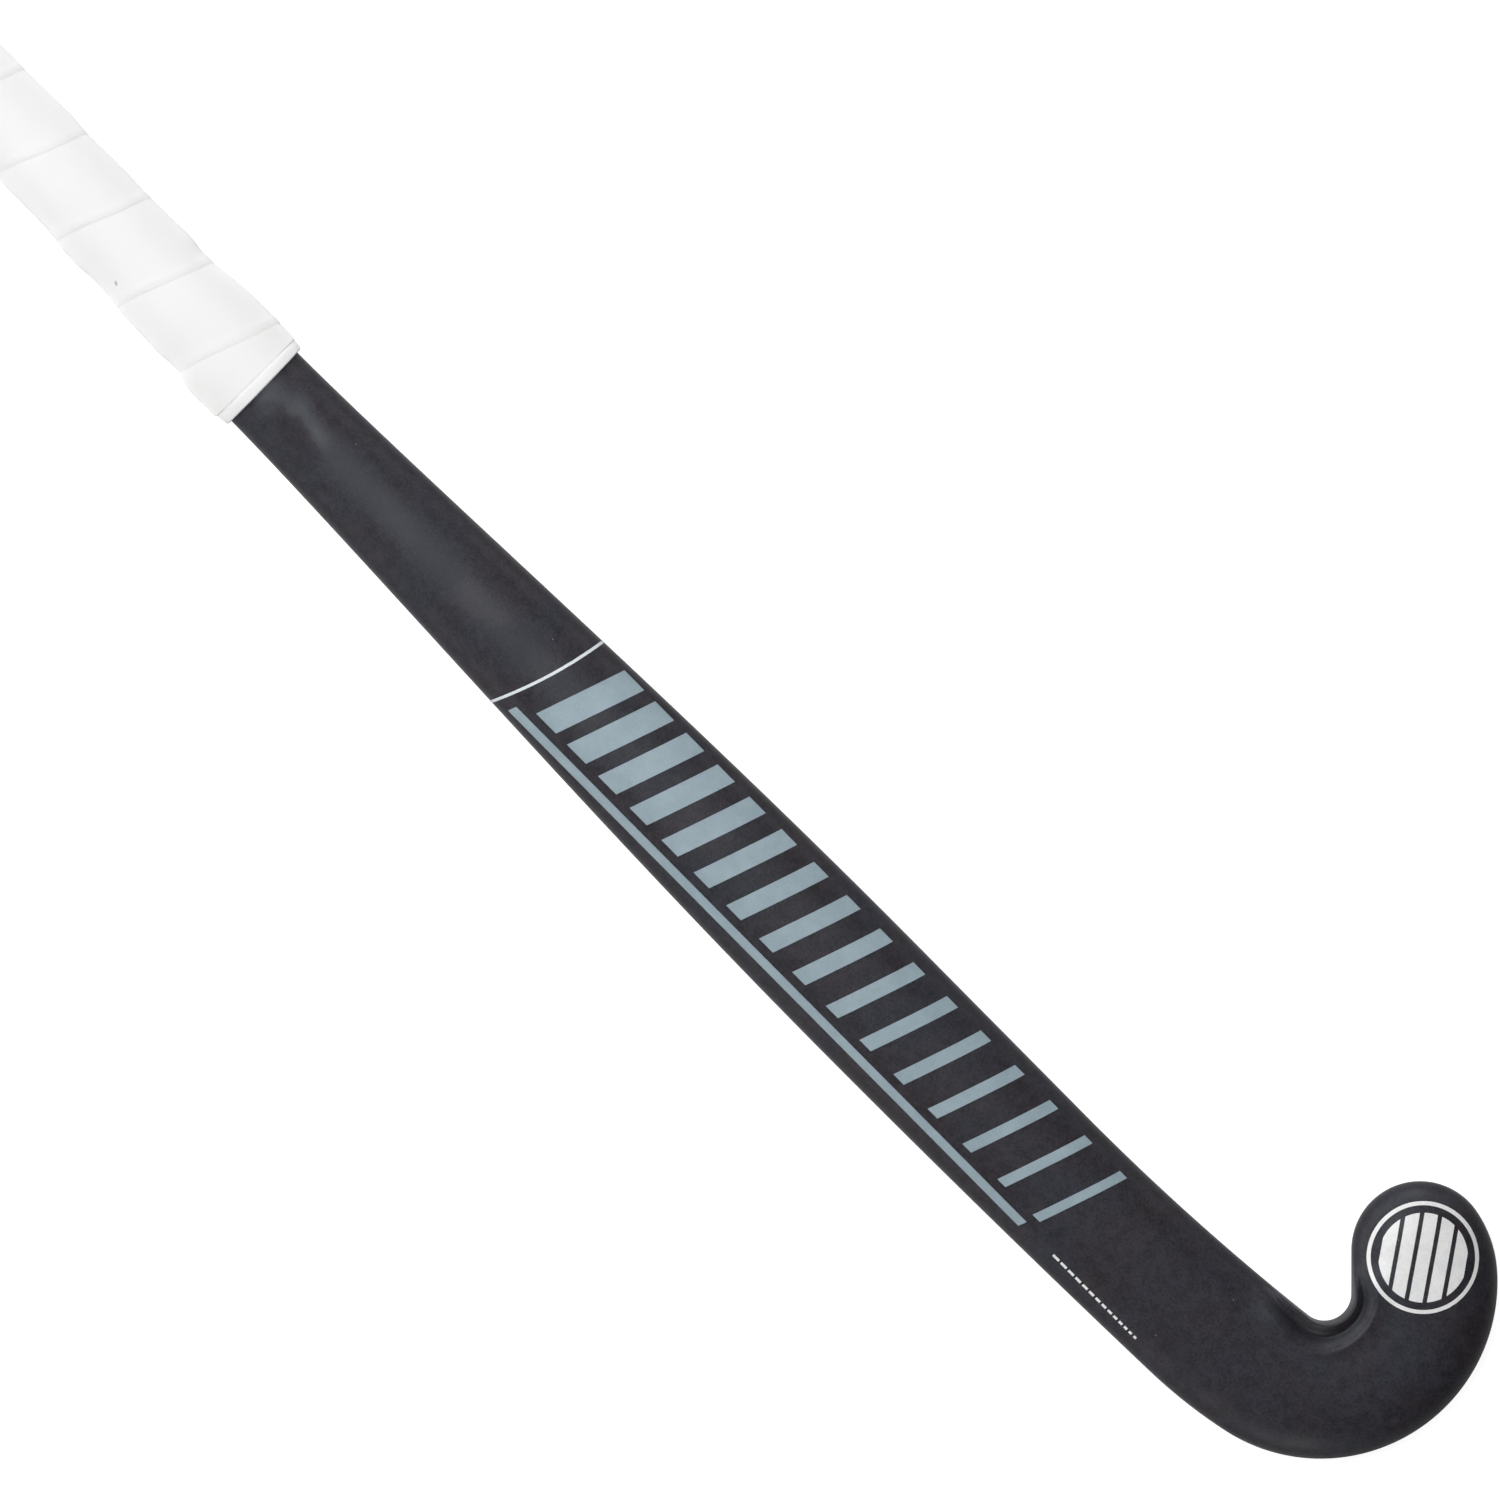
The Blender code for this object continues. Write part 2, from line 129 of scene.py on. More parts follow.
def arcCentre(piece):
    x, y, heading, radius, _ = piece
    return x - radius * math.sin(heading), y + radius * math.cos(heading)


def along(piece, distance):
    x, y, heading, radius, _ = piece
    if radius == 0.0:
        return x + distance * math.cos(heading), y + distance * math.sin(heading), heading
    turned = heading + distance / radius
    cx, cy = arcCentre(piece)
    return cx + radius * math.sin(turned), cy - radius * math.cos(turned), turned


def onPath(path, distance):
    for piece in path[:-1]:
        if distance <= piece[4]:
            return along(piece, distance)
        distance -= piece[4]
    return along(path[-1], min(distance, path[-1][4]))


def pathLength(path, pieces):
    return sum(piece[4] for piece in path[:pieces])


def shifted(path, dx, dy):
    return [(x + dx, y + dy, heading, radius, length) for x, y, heading, radius, length in path]


def headOutline():
    outer = []
    for radius, turn in head["outerArcs"]:
        extend(outer, radius, radius * math.radians(turn))
    tipRadius, crookRadius = head["tipRadius"], head["crookRadius"]
    tipTurn = math.radians(head["tipAngle"] + 90.0) - along(outer[-1], outer[-1][4])[2]
    extend(outer, tipRadius, tipRadius * tipTurn)
    # The third arc makes the base, where the stick ends
    start = stick["length"] - (arcCentre(outer[2])[0] + outer[2][3])
    outer = shifted(outer, start, -stick["shaftWidth"] / 2)
    tipCentre = Vector(arcCentre(outer[-1]))
    crookS = stick["length"] - head["crookToBase"] - crookRadius
    reach = head["throatRadius"] - crookRadius
    throatRise = math.sqrt(reach ** 2 - head["throatLength"] ** 2)
    crookCentre = Vector((crookS, stick["shaftWidth"] / 2 + head["throatRadius"] - throatRise))
    throatTurn = math.asin(head["throatLength"] / reach)

    # The underside of the toe touches the crook and the tip on opposite sides
    apart = tipCentre - crookCentre
    lean = (crookRadius + tipRadius) / apart.length
    heading = math.atan2(apart.y, apart.x) + math.asin(lean)
    inner = []
    extend(inner, 0.0, crookS - head["throatLength"] - start)
    extend(inner, head["throatRadius"], head["throatRadius"] * throatTurn)
    extend(inner, crookRadius, crookRadius * (heading - throatTurn))
    extend(inner, 0.0, apart.length * math.sqrt(1.0 - lean * lean))
    tipTurn = heading + math.pi / 2 - math.radians(head["tipAngle"])
    extend(inner, -tipRadius, tipRadius * tipTurn)
    return outer, shifted(inner, start, stick["shaftWidth"] / 2), start


outerEdge, innerEdge, headStart = headOutline()
coreReach = stick["length"] - head["coreToBase"] - headStart
bowTurn = math.radians(stick["bowTurn"])
bowStart = stick["length"] - stick["bowToBase"] - stick["bowRadius"] * bowTurn / 2


def shaftShare(s):
    # 0 at the lower end of the grip, 1 where the head begins
    return np.clip((s - stick["gripLength"]) / (headStart - stick["gripLength"]), 0.0, 1.0)


def width(s):
    handle = blend(stick["handleWidth"], stick["gripEndWidth"],
                   (s - stick["handleStraight"]) / (stick["gripLength"] - stick["handleStraight"]))
    shaft = blend(stick["gripEndWidth"], stick["shaftWidth"], shaftShare(s) ** stick["taperPower"])
    return np.where(s < stick["gripLength"], handle, shaft)


def thickness(s):
    run = np.clip(s / stick["gripLength"], 0.0, 1.0)
    handle = mix(stick["handleThickness"], stick["gripEndThickness"], run)
    shaft = blend(stick["gripEndThickness"], stick["shaftThickness"], shaftShare(s))
    blade = blend(stick["shaftThickness"], stick["headThickness"],
                  (s - headStart) / (stick["length"] - headStart))
    return np.where(s < stick["gripLength"], handle, np.where(s < headStart, shaft, blade))


def dome(deep, reach):
    rest = 1.0 - np.clip(deep / reach, 0.0, 1.0)
    return (1.0 - rest ** stick["sectionPower"]) ** (1.0 / stick["sectionPower"])


def heights(s, deep, inset):
    # Heights of back and face at a plan distance inwards from the edge, on a skin set in by inset
    flat = smooth(shaftShare(s))
    half, top = width(s) / 2, thickness(s)
    edge = mix(top / 2, stick["edgeHeight"], flat)
    backReach, faceReach = (
        np.maximum(mix(half, stick[rounding], flat) - inset, stick["leastRounding"])
        for rounding in ("backRounding", "faceRounding"))
    back = edge + (top - inset - edge) * dome(deep - inset, backReach)
    return back, edge - (edge - inset) * dome(deep - inset, faceReach)


def place(s, t, n):
    # The bow: straight handle, arc, straight lower end
    s, t, n = np.broadcast_arrays(*(np.asarray(value, float) for value in (s, t, n)))
    turn = np.clip((s - bowStart) / stick["bowRadius"], 0.0, bowTurn)
    rest = np.maximum(s - bowStart - stick["bowRadius"] * bowTurn, 0.0)
    x = np.minimum(s, bowStart) + stick["bowRadius"] * np.sin(turn) + rest * math.cos(bowTurn)
    z = -stick["bowRadius"] * (1.0 - np.cos(turn)) - rest * math.sin(bowTurn)
    return np.stack((x + n * np.sin(turn), t, z + n * np.cos(turn)), axis=-1)


def axes(s):
    # Directions along the stick and out of its back at s
    turn = min(max((s - bowStart) / stick["bowRadius"], 0.0), bowTurn)
    c, d = math.cos(turn), math.sin(turn)
    return Vector((c, 0.0, -d)), Vector((d, 0.0, c))


def lyingPlace():
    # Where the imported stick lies, from its two flat mounts: the butt end and the playing face
    mounts = {mount["name"]: mount for mount in record["mounts"]}
    butt, face = mounts["butt_end"], mounts["playing_face"]
    out = axes(stick["flatStation"])[1]
    lengthways = Vector((1.0, 0.0, 0.0))
    sideways = out.cross(lengthways).normalized()
    local = Matrix((lengthways, sideways, lengthways.cross(sideways))).transposed()
    lengthways = -Vector(butt["axis"]).normalized()
    sideways = (-Vector(face["axis"])).cross(lengthways).normalized()
    packed = Matrix((lengthways, sideways, lengthways.cross(sideways))).transposed()
    turn = packed @ local.inverted()
    buttPoint = Vector(place(0.0, 0.0, thickness(0.0) / 2))
    facePoint = Vector(place(stick["flatStation"], 0.0, 0.0))
    shift = (Vector(butt["pos_m"]) - turn @ buttPoint
             + Vector(face["pos_m"]) - turn @ facePoint) / 2
    return Matrix.Translation(shift) @ turn.to_4x4()


lying = lyingPlace()


def steps(start, end, size):
    count = max(1, round((end - start) / size))
    return [start + (end - start) * i / count for i in range(count + 1)]


def edgeLine():
    # The whole outline in short steps: down the heel side, round the toe and back
    step = 0.0005
    stations = np.array(steps(-stick["shaftWidth"], headStart, 8 * step))
    half = width(stations) / 2
    heel, toe = ([*zip(stations, side * half),
                  *(onPath(path, d)[:2] for d in steps(0.0, pathLength(path, 5), step))]
                 for side, path in ((-1.0, outerEdge), (1.0, innerEdge)))
    return np.array(heel + toe[::-1])


wholeEdge = edgeLine()


def inwards(s, t):
    # Plan distance from each point to the nearest edge of the stick
    start, run = wholeEdge[:-1], wholeEdge[1:] - wholeEdge[:-1]
    offset = np.stack((s, t), axis=-1)[:, None, :] - start
    share = np.clip((offset * run).sum(-1) / np.maximum((run * run).sum(-1), 1e-12), 0.0, 1.0)
    return np.sqrt(((offset - run * share[..., None]) ** 2).sum(-1).min(-1))


# Moulded groove in the back beside the crook, which clears the ball when it is hooked
groove = {
    "depth": 0.0026,
    "rim": 0.0002,
    "deepest": 0.0038,
    "ridge": 0.0086,
    "fullness": 0.0014,
    "fullTo": 0.006,
    "fullFade": 0.016,
    "beforeCrook": 0.024,
    "afterCrook": 0.015,
    "fade": 0.017,
    "endShare": 0.45,
    "swell": 0.34,
    "swellAt": 0.12,
    "swellReach": 0.36,
    "step": 0.0004,
}


def crookShape(s, t):
    # Where the back is fuller beside the crook, and where the groove is cut into it
    crook, crookEnd = pathLength(innerEdge, 2), pathLength(innerEdge, 3)
    start, end = crook - groove["beforeCrook"], crookEnd + groove["afterCrook"]
    stations = np.array(steps(start, end, groove["step"]))
    line = np.array([onPath(innerEdge, d)[:2] for d in stations])
    apart = np.sqrt(((np.stack((s, t), axis=-1)[:, None, :] - line) ** 2).sum(-1))
    run, apart = stations[apart.argmin(-1)], apart.min(-1)
    present = smooth((run - start) / groove["fade"]) * smooth((end - run) / groove["fade"])
    swell = (run - crook) / (crookEnd - crook) - groove["swellAt"]
    swell = np.exp(-(swell / groove["swellReach"]) ** 2) * groove["swell"]
    reach = apart / (groove["endShare"] + (1.0 - groove["endShare"]) * present + swell)
    fall = smooth((reach - groove["rim"]) / (groove["deepest"] - groove["rim"]))
    rise = smooth((reach - groove["deepest"]) / (groove["ridge"] - groove["deepest"]))
    fuller = present * (1.0 - smooth((apart - groove["fullTo"]) / groove["fullFade"]))
    return fuller, present * fall * (1.0 - rise)


def backHeight(s, t, deep):
    # Height of the finished back, and how far each point lies in the groove
    back = heights(s, deep, 0.0)[0]
    recess = np.zeros(back.shape)
    near = s > headStart + coreReach
    if near.any():
        fuller, recess[near] = crookShape(s[near], t[near])
        full = mix(stick["edgeHeight"], thickness(s[near]), dome(deep[near], groove["fullness"]))
        back[near] += (full - back[near]) * fuller - groove["depth"] * recess[near]
    return back, recess


def onBack(s, t, deep=None):
    # Points of the finished back over plan points, in stick coordinates
    s, t = np.asarray(s, float), np.asarray(t, float)
    return place(s, t, backHeight(s, t, inwards(s, t) if deep is None else deep)[0])


# Meshes

weldWithin = 1e-6  # points closer than this are joined


def addObject(name, data):
    obj = bpy.data.objects.new(name, data)
    bpy.context.scene.collection.objects.link(obj)
    return obj


def addPiece(name, mesh, material):
    mesh.transform(lying)
    mesh.materials.clear()
    mesh.materials.append(material)
    return addObject(name, mesh)


@contextmanager
def editing(mesh):
    bm = bmesh.new()
    bm.from_mesh(mesh)
    yield bm
    bm.to_mesh(mesh)
    bm.free()


def plainMesh(obj):
    # What the object's modifiers make of it
    depsgraph = bpy.context.evaluated_depsgraph_get()
    return bpy.data.meshes.new_from_object(obj.evaluated_get(depsgraph),
                                           preserve_all_data_layers=True, depsgraph=depsgraph)


def smoothed(mesh, sharp):
    mesh.shade_smooth()
    mesh.set_sharp_from_angle(angle=math.radians(sharp))
    return mesh


def loftMesh(name, rows, sharp):
    # Closed loops of equal length, joined in turn; one point in place of a loop is a pole
    mesh = bpy.data.meshes.new(name)
    with editing(mesh) as bm:
        made = [[bm.verts.new(point) for point in row] for row in rows]
        for first, second in zip(made, made[1:]):
            count = max(len(first), len(second))
            for i in range(count):
                j = (i + 1) % count
                corners = [first[i % len(first)], first[j % len(first)],
                           second[j % len(second)], second[i % len(second)]]
                bm.faces.new(list(dict.fromkeys(corners)))
        bmesh.ops.recalc_face_normals(bm, faces=bm.faces)
    return smoothed(mesh, sharp)


def handlePoint(s, angle, offset, fuller=0.0, share=1.0):
    # Points of the oval handle, set outwards by offset and drawn in by share
    half, middle = width(s) / 2, thickness(s) / 2
    across = np.sin(angle)
    up = np.copysign(dome(1.0 - np.abs(across), 1.0), np.cos(angle))
    return place(s, (half + offset + fuller) * across * share,
                 middle + (middle + offset) * up * share)


# Node helpers, for shader trees and geometry trees alike

class Value:
    # What a node puts out; takes plain arithmetic
    def __init__(self, tree, socket):
        self.tree, self.socket = tree, socket


for method, operation in (("add", "ADD"), ("sub", "SUBTRACT"), ("mul", "MULTIPLY"),
                          ("truediv", "DIVIDE")):
    setattr(Value, f"__{method}__", lambda a, b, kind=operation: calc(kind, a, b))
    setattr(Value, f"__r{method}__", lambda a, b, kind=operation: calc(kind, b, a))


def wire(tree, value, socket):
    if isinstance(value, Value):
        tree.links.new(value.socket, socket)
    else:
        socket.default_value = value


def put(tree, kind, inputs=None, **settings):
    node = tree.nodes.new(kind)
    for key, value in settings.items():
        setattr(node, key, value)
    for key, value in (inputs or {}).items():
        wire(tree, value, node.inputs[key])
    return node


def get(tree, kind, inputs=None, output=0, **settings):
    # A new node's output, or several of them
    outputs = put(tree, kind, inputs, **settings).outputs
    if isinstance(output, tuple):
        return [Value(tree, outputs[key]) for key in output]
    return Value(tree, outputs[output])


def treeOf(*values):
    return next(value.tree for value in values if isinstance(value, Value))


def calc(operation, *values):
    return get(treeOf(*values), "ShaderNodeMath", dict(enumerate(values)), operation=operation)


def mapped(value, low, high, toLow=0.0, toHigh=1.0, kind="SMOOTHSTEP"):
    return get(value.tree, "ShaderNodeMapRange", {
        "Value": value, "From Min": low, "From Max": high, "To Min": toLow, "To Max": toHigh},
        "Result", interpolation_type=kind)


def spread(value, low, high):
    return mapped(value, 0.0, 1.0, low, high, "LINEAR")


def mixColour(factor, a, b, blendType="MIX"):
    inputs = {key: (*value, 1.0) if isinstance(value, tuple) else value
              for key, value in ((0, factor), (6, a), (7, b))}
    return get(treeOf(factor, a, b), "ShaderNodeMix", inputs, 2, data_type="RGBA",
               blend_type=blendType)


def shaded(colour, shade):
    grey = get(colour.tree, "ShaderNodeCombineColor", {0: shade, 1: shade, 2: shade})
    return mixColour(1.0, colour, grey, "MULTIPLY")


def noise(vector, scale, detail=2.0, roughness=0.5):
    return get(vector.tree, "ShaderNodeTexNoise", {"Vector": vector, "Scale": scale,
                                                   "Detail": detail, "Roughness": roughness})


def clouds(vector, scale, low=0.36, high=0.64):
    return mapped(noise(vector, scale, 3.0), low, high)


def attribute(tree, name):
    return get(tree, "ShaderNodeAttribute", None, "Fac", attribute_name=name)


def combined(tree, **parts):
    return get(tree, "ShaderNodeCombineXYZ", parts)


def newGroup(name, kind, inputs):
    # Inputs by name: a number is the socket's default, a word is its kind
    group = bpy.data.node_groups.new(name, kind)
    for label, value in inputs.items():
        isNumber = isinstance(value, (int, float))
        word = ("Int" if isinstance(value, int) else "Float") if isNumber else value
        socket = group.interface.new_socket(label, in_out="INPUT", socket_type="NodeSocket" + word)
        if isNumber:
            socket.default_value = value
    source = group.nodes.new("NodeGroupInput").outputs
    return group, {label: Value(group, source[label]) for label in inputs}


def giveOut(group, results, kind="Float"):
    for label in results:
        group.interface.new_socket(label, in_out="OUTPUT", socket_type="NodeSocket" + kind)
    sockets = group.nodes.new("NodeGroupOutput").inputs
    for label, value in results.items():
        wire(group, value, sockets[label])
    return group


# Shared effects: each one is built once as a shader group

def grain(vector, scale):
    # Fine mottling of a moulded or sprayed surface: a value round 0.5 and a height
    fine, coarse = noise(vector, scale, 3.0, 0.6), noise(vector, scale * 0.23, 2.0)
    return {"mottle": mapped(fine * 0.65 + coarse * 0.35, 0.32, 0.68), "height": fine}


def specks(vector, scale, size, share):
    # Sparse tiny round specks of dust
    colour, distance = get(vector.tree, "ShaderNodeTexVoronoi", {"Vector": vector, "Scale": scale},
                           ("Color", "Distance"))
    chance, bigness = get(vector.tree, "ShaderNodeSeparateColor", {"Color": colour}, (0, 1))
    reach = size * (bigness + 0.35)
    return {"mask": mapped(distance, reach, reach * 0.45) * calc("LESS_THAN", chance, share)}


def wear(vector, edge, reach, scale):
    # Rubbed edges: strongest where the edge value is 0, broken up by noise
    return {"mask": mapped(edge, reach, 0.0)
            * mapped(noise(vector, scale, 4.0, 0.62), 0.42, 0.66)}


def scuffs(vector, scale):
    # Faint drawn-out rub marks along the stick
    drawn = get(vector.tree, "ShaderNodeMapping", {
        "Vector": vector, "Rotation": (0.0, 0.0, 0.6), "Scale": (0.35, 2.2, 1.0)})
    lines = mapped(noise(drawn, scale, 5.0, 0.7), 0.60, 0.72)
    return {"mask": lines * mapped(noise(vector, scale * 0.25, 1.0), 0.50, 0.66)}


def ovalMark(vector, along, across, centreAlong, centreAcross, length, breadth, turn):
    # One soft-edged oval mark: a slanted oval round a point of the stick, broken by noise
    x, y = along - centreAlong, across - centreAcross
    c, d = calc("COSINE", turn), calc("SINE", turn)
    reach = calc("SQRT", calc("POWER", (x * c + y * d) / length, 2.0)
                 + calc("POWER", (y * c - x * d) / breadth, 2.0))
    return {"mask": mapped(reach + (noise(vector, 240.0, 3.0) - 0.5) * 0.9, 1.3, 0.35)}


def braid(vector, pitch):
    # Two sets of crossing strands, over and under
    x, y = get(vector.tree, "ShaderNodeSeparateXYZ", {"Vector": vector}, (0, 1))
    first, second = (calc("SINE", (x + y * sign) / pitch * (2.0 * math.pi))
                     for sign in (1.0, -1.0))
    return {"strand": mapped(first * second, -0.25, 0.25),
            "height": calc("ABSOLUTE", first * second)}


def makeEffect(name, build, **inputs):
    group, given = newGroup(name, "ShaderNodeTree", {"vector": "Vector", **inputs})
    return giveOut(group, build(**given))


effects = {
    "grain": makeEffect("fineGrain", grain, scale=1000.0),
    "specks": makeEffect("dustSpecks", specks, scale=60.0, size=0.02, share=0.4),
    "wear": makeEffect("edgeWear", wear, edge=1.0, reach=0.05, scale=180.0),
    "scuffs": makeEffect("scuffMarks", scuffs, scale=90.0),
    "ovalMark": makeEffect("ovalMarkMask", ovalMark, along=0.0, across=0.0, centreAlong=0.0, centreAcross=0.0,
                      length=0.0, breadth=0.0, turn=0.0),
    "braid": makeEffect("braidWeave", braid, pitch=0.004),
}
print("shared effects ready")


def effect(name, vector, **inputs):
    node = put(vector.tree, "ShaderNodeGroup", {"vector": vector, **inputs},
               node_tree=effects[name])
    return {output.name: Value(vector.tree, output) for output in node.outputs}


def newMaterial(name, **constants):
    material = bpy.data.materials.new(name)
    material.use_nodes = True
    tree = material.node_tree
    shader = tree.nodes["Principled BSDF"]
    for key, value in constants.items():
        shader.inputs[key].default_value = value
    return material, shader, get(tree, "ShaderNodeTexCoord", None, "Object")


def surface(shader, colour, roughness, height, depth):
    # Colour, roughness and relief of a finish
    normal = get(colour.tree, "ShaderNodeBump", {"Height": height, "Distance": depth,
                                                 "Strength": 1.0}, "Normal")
    for key, value in (("Base Color", colour), ("Roughness", roughness), ("Normal", normal)):
        wire(colour.tree, value, shader.inputs[key])


lacquer = {
    "shader": {"Specular IOR Level": 0.36, "Specular Tint": (0.84, 0.94, 1.0, 1.0),
               "Sheen Weight": 0.18, "Sheen Roughness": 0.45},
    "brownBlack": (0.0242, 0.0183, 0.0233),
    "blueBlack": (0.0202, 0.0188, 0.0260),
    "grainScale": 1100.0,
    "cloudScale": 42.0,
    "mottling": (0.55, 1.45),
    "roughness": (0.42, 0.56),
    "wear": {"reach": 0.07, "scale": 520.0},
    "scuffs": {"scale": 120.0},
    "specks": {"scale": 105.0, "size": 0.034, "share": 0.42},
    "worn": (0.050, 0.050, 0.053),
    "wornShare": 0.30,
    "scuffShare": 0.14,
    "scuffPolish": 0.05,
    "speck": (0.30, 0.31, 0.31),
    "speckShare": 0.38,
    # Painted highlight patches just under the grip, lighter ovals in the colour: place along and
    # across, half length and width, turn, weight
    "paintedHighlights": ((0.3850, -0.0045, 0.0055, 0.0055, 0.0, 0.20),
             (0.3935, 0.0058, 0.0052, 0.0032, -12.0, 0.28),
             (0.4035, 0.0026, 0.0110, 0.0017, -17.0, 0.12)),
    "paintedHighlightColour": (0.070, 0.078, 0.090),
    # A matt patch whose colour is also painted darker, painted shade; given as the marks above
    "mattShadedPatch": (0.3995, -0.0052, 0.0140, 0.0056, -8.0, 0.26),
    "paintedShadeColour": (0.011, 0.012, 0.018),
    "dullRoughness": 0.95,
    # Near black painted shade in the groove beside the crook, mixed in by the recess share
    "paintedGrooveShadeColour": (0.0, 0.0, 0.002),
    "recessShade": 0.55,
    "relief": 0.00005,
}


def addOvalMark(vector, mark):
    centreAlong, centreAcross, length, breadth, turn, weight = mark
    along, across = (attribute(vector.tree, name) for name in ("alongStick", "acrossStick"))
    return effect("ovalMark", vector, along=along, across=across, centreAlong=centreAlong,
                  centreAcross=centreAcross, length=length, breadth=breadth,
                  turn=math.radians(turn))["mask"] * weight


def makeLacquer():
    # Soft-touch black lacquer with fine mottling, a few specks of dust and lightly rubbed edges;
    # painted highlight patches and a matt patch of painted shade just below the grip, and painted
    # shade in the groove beside the crook
    material, shader, vector = newMaterial("softTouchLacquer", **lacquer["shader"])
    fine = effect("grain", vector, scale=lacquer["grainScale"])
    broad = clouds(vector, lacquer["cloudScale"])
    colour = mixColour(broad, lacquer["brownBlack"], lacquer["blueBlack"])
    colour = shaded(colour, spread(fine["mottle"], *lacquer["mottling"]))
    edge, recess = (attribute(vector.tree, name) for name in ("edgeRun", "recess"))
    worn = effect("wear", vector, edge=edge, **lacquer["wear"])["mask"]
    scuffed, dust = (effect(name, vector, **lacquer[name])["mask"] for name in ("scuffs", "specks"))
    mattShadedPatch = addOvalMark(vector, lacquer["mattShadedPatch"])
    # Layers over the base colour: edge wear, scuffs and dust, then painted highlight patches, a
    # painted shade patch and painted shade in the groove
    for mask, over in (
            (worn * lacquer["wornShare"], "worn"), (scuffed * lacquer["scuffShare"], "worn"),
            (dust * lacquer["speckShare"], "speck"),
            *((addOvalMark(vector, mark), "paintedHighlightColour") for mark in lacquer["paintedHighlights"]),
            (mattShadedPatch, "paintedShadeColour"),
            (mapped(recess, 0.15, 0.85) * lacquer["recessShade"], "paintedGrooveShadeColour")):
        colour = mixColour(mask, colour, lacquer[over])
    rough = spread(broad * 0.5 + fine["mottle"] * 0.5, *lacquer["roughness"])
    rough = rough - scuffed * lacquer["scuffPolish"]
    rough = mapped(mattShadedPatch, 0.0, 0.4, rough, lacquer["dullRoughness"], "LINEAR")
    surface(shader, colour, rough, fine["height"], lacquer["relief"])
    return material


ink = {
    "grainScale": 1500.0,
    "cloudScale": 95.0,
    "mottling": (0.93, 1.05),
    "specks": {"scale": 120.0, "size": 0.035, "share": 0.25},
    "speckShare": 0.25,
    "smoother": 0.05,
    "rougher": 0.07,
    "relief": 0.00002,
}


def makeInk(name, colours, roughness=0.5):
    # Screen-printed ink: two near shades in soft clouds, fine grain, a few specks
    material, shader, vector = newMaterial(name)
    fine = effect("grain", vector, scale=ink["grainScale"])
    colour = mixColour(clouds(vector, ink["cloudScale"]), *colours)
    colour = shaded(colour, spread(fine["mottle"], *ink["mottling"]))
    dust = effect("specks", vector, **ink["specks"])["mask"]
    colour = mixColour(dust * ink["speckShare"], colour, lacquer["brownBlack"])
    rough = spread(fine["mottle"], roughness - ink["smoother"], roughness + ink["rougher"])
    surface(shader, colour, rough, fine["height"], ink["relief"])
    return material


cushion = {
    "shader": {"Sheen Weight": 0.14, "Sheen Roughness": 0.5, "Diffuse Roughness": 1.0},
    "white": (0.858, 0.851, 0.852),
    "shade": (0.844, 0.838, 0.839),
    # Painted shade along both edges of each lap, where one turn lies over the next
    "lapShadeColour": (0.74, 0.74, 0.73),
    "lapShadeShare": 0.15,
    "seams": ((0.985, 1.0), (0.118, 0.098)),
    "stain": (0.80, 0.74, 0.63),
    "stainShare": 0.35,
    "stainReach": (0.352, 0.374),
    "stainScale": 75.0,
    "stainLimits": (0.52, 0.72),
    "grainScale": 1000.0,
    "grainHeight": 0.6,
    "cellScale": 850.0,
    "clouds": (40.0, 0.35, 0.7),
    # One dark fleck, given as the oval marks of the lacquer are
    "fleck": (0.3178, -0.0114, 0.0010, 0.0005, -30.0, 0.62),
    "fleckColour": (0.20, 0.19, 0.18),
    "roughness": (0.56, 0.68),
    "relief": 0.00006,
}


def makeCushionGrip():
    # Tacky white cushion strip: leathery grain, painted shade along the edges of each lap, faint
    # stains at its lower end
    material, shader, vector = newMaterial("cushionGrip", **cushion["shader"])
    across, along = (attribute(vector.tree, name) for name in ("across", "alongStick"))
    fine = effect("grain", vector, scale=cushion["grainScale"])
    cells = get(vector.tree, "ShaderNodeTexVoronoi", {
        "Vector": vector, "Scale": cushion["cellScale"]}, "Distance", feature="SMOOTH_F1")
    colour = mixColour(clouds(vector, *cushion["clouds"]), cushion["white"], cushion["shade"])
    # Mask for the painted shade at the laps
    seams = calc("MAXIMUM", *(mapped(across, *limits) for limits in cushion["seams"]))
    stains = mapped(noise(vector, cushion["stainScale"]), *cushion["stainLimits"])
    stains = stains * mapped(along, *cushion["stainReach"])
    for mask, over in ((seams * cushion["lapShadeShare"], "lapShadeColour"),
                       (stains * cushion["stainShare"], "stain"),
                       (addOvalMark(vector, cushion["fleck"]), "fleckColour")):
        colour = mixColour(mask, colour, cushion[over])
    surface(shader, colour, spread(fine["mottle"], *cushion["roughness"]),
            cells + fine["height"] * cushion["grainHeight"], cushion["relief"])
    return material


plain = {
    "specks": {"scale": 150.0, "size": 0.05},
    "speck": (0.5, 0.5, 0.5),
    "speckShare": 0.3,
    "roughnessRange": 0.06,
}


def makePlain(name, colours, roughness, scale, relief, dusty=0.2, **constants):
    # Moulded, foamed or felted stuff: two shades by its grain, dust and a fine relief
    material, shader, vector = newMaterial(name, **constants)
    fine = effect("grain", vector, scale=scale)
    dust = effect("specks", vector, share=dusty, **plain["specks"])["mask"]
    colour = mixColour(fine["mottle"], *colours)
    colour = mixColour(dust * plain["speckShare"], colour, plain["speck"])
    rough = spread(fine["mottle"], roughness - plain["roughnessRange"],
                   roughness + plain["roughnessRange"])
    surface(shader, colour, rough, fine["height"], relief)
    return material


tube = {
    "pitch": 0.0036,
    "grainScale": 900.0,
    "resin": (0.02, 0.02, 0.02),
    "resinShare": 0.25,
    "roughness": (0.28, 0.42),
    "relief": 0.0002,
}


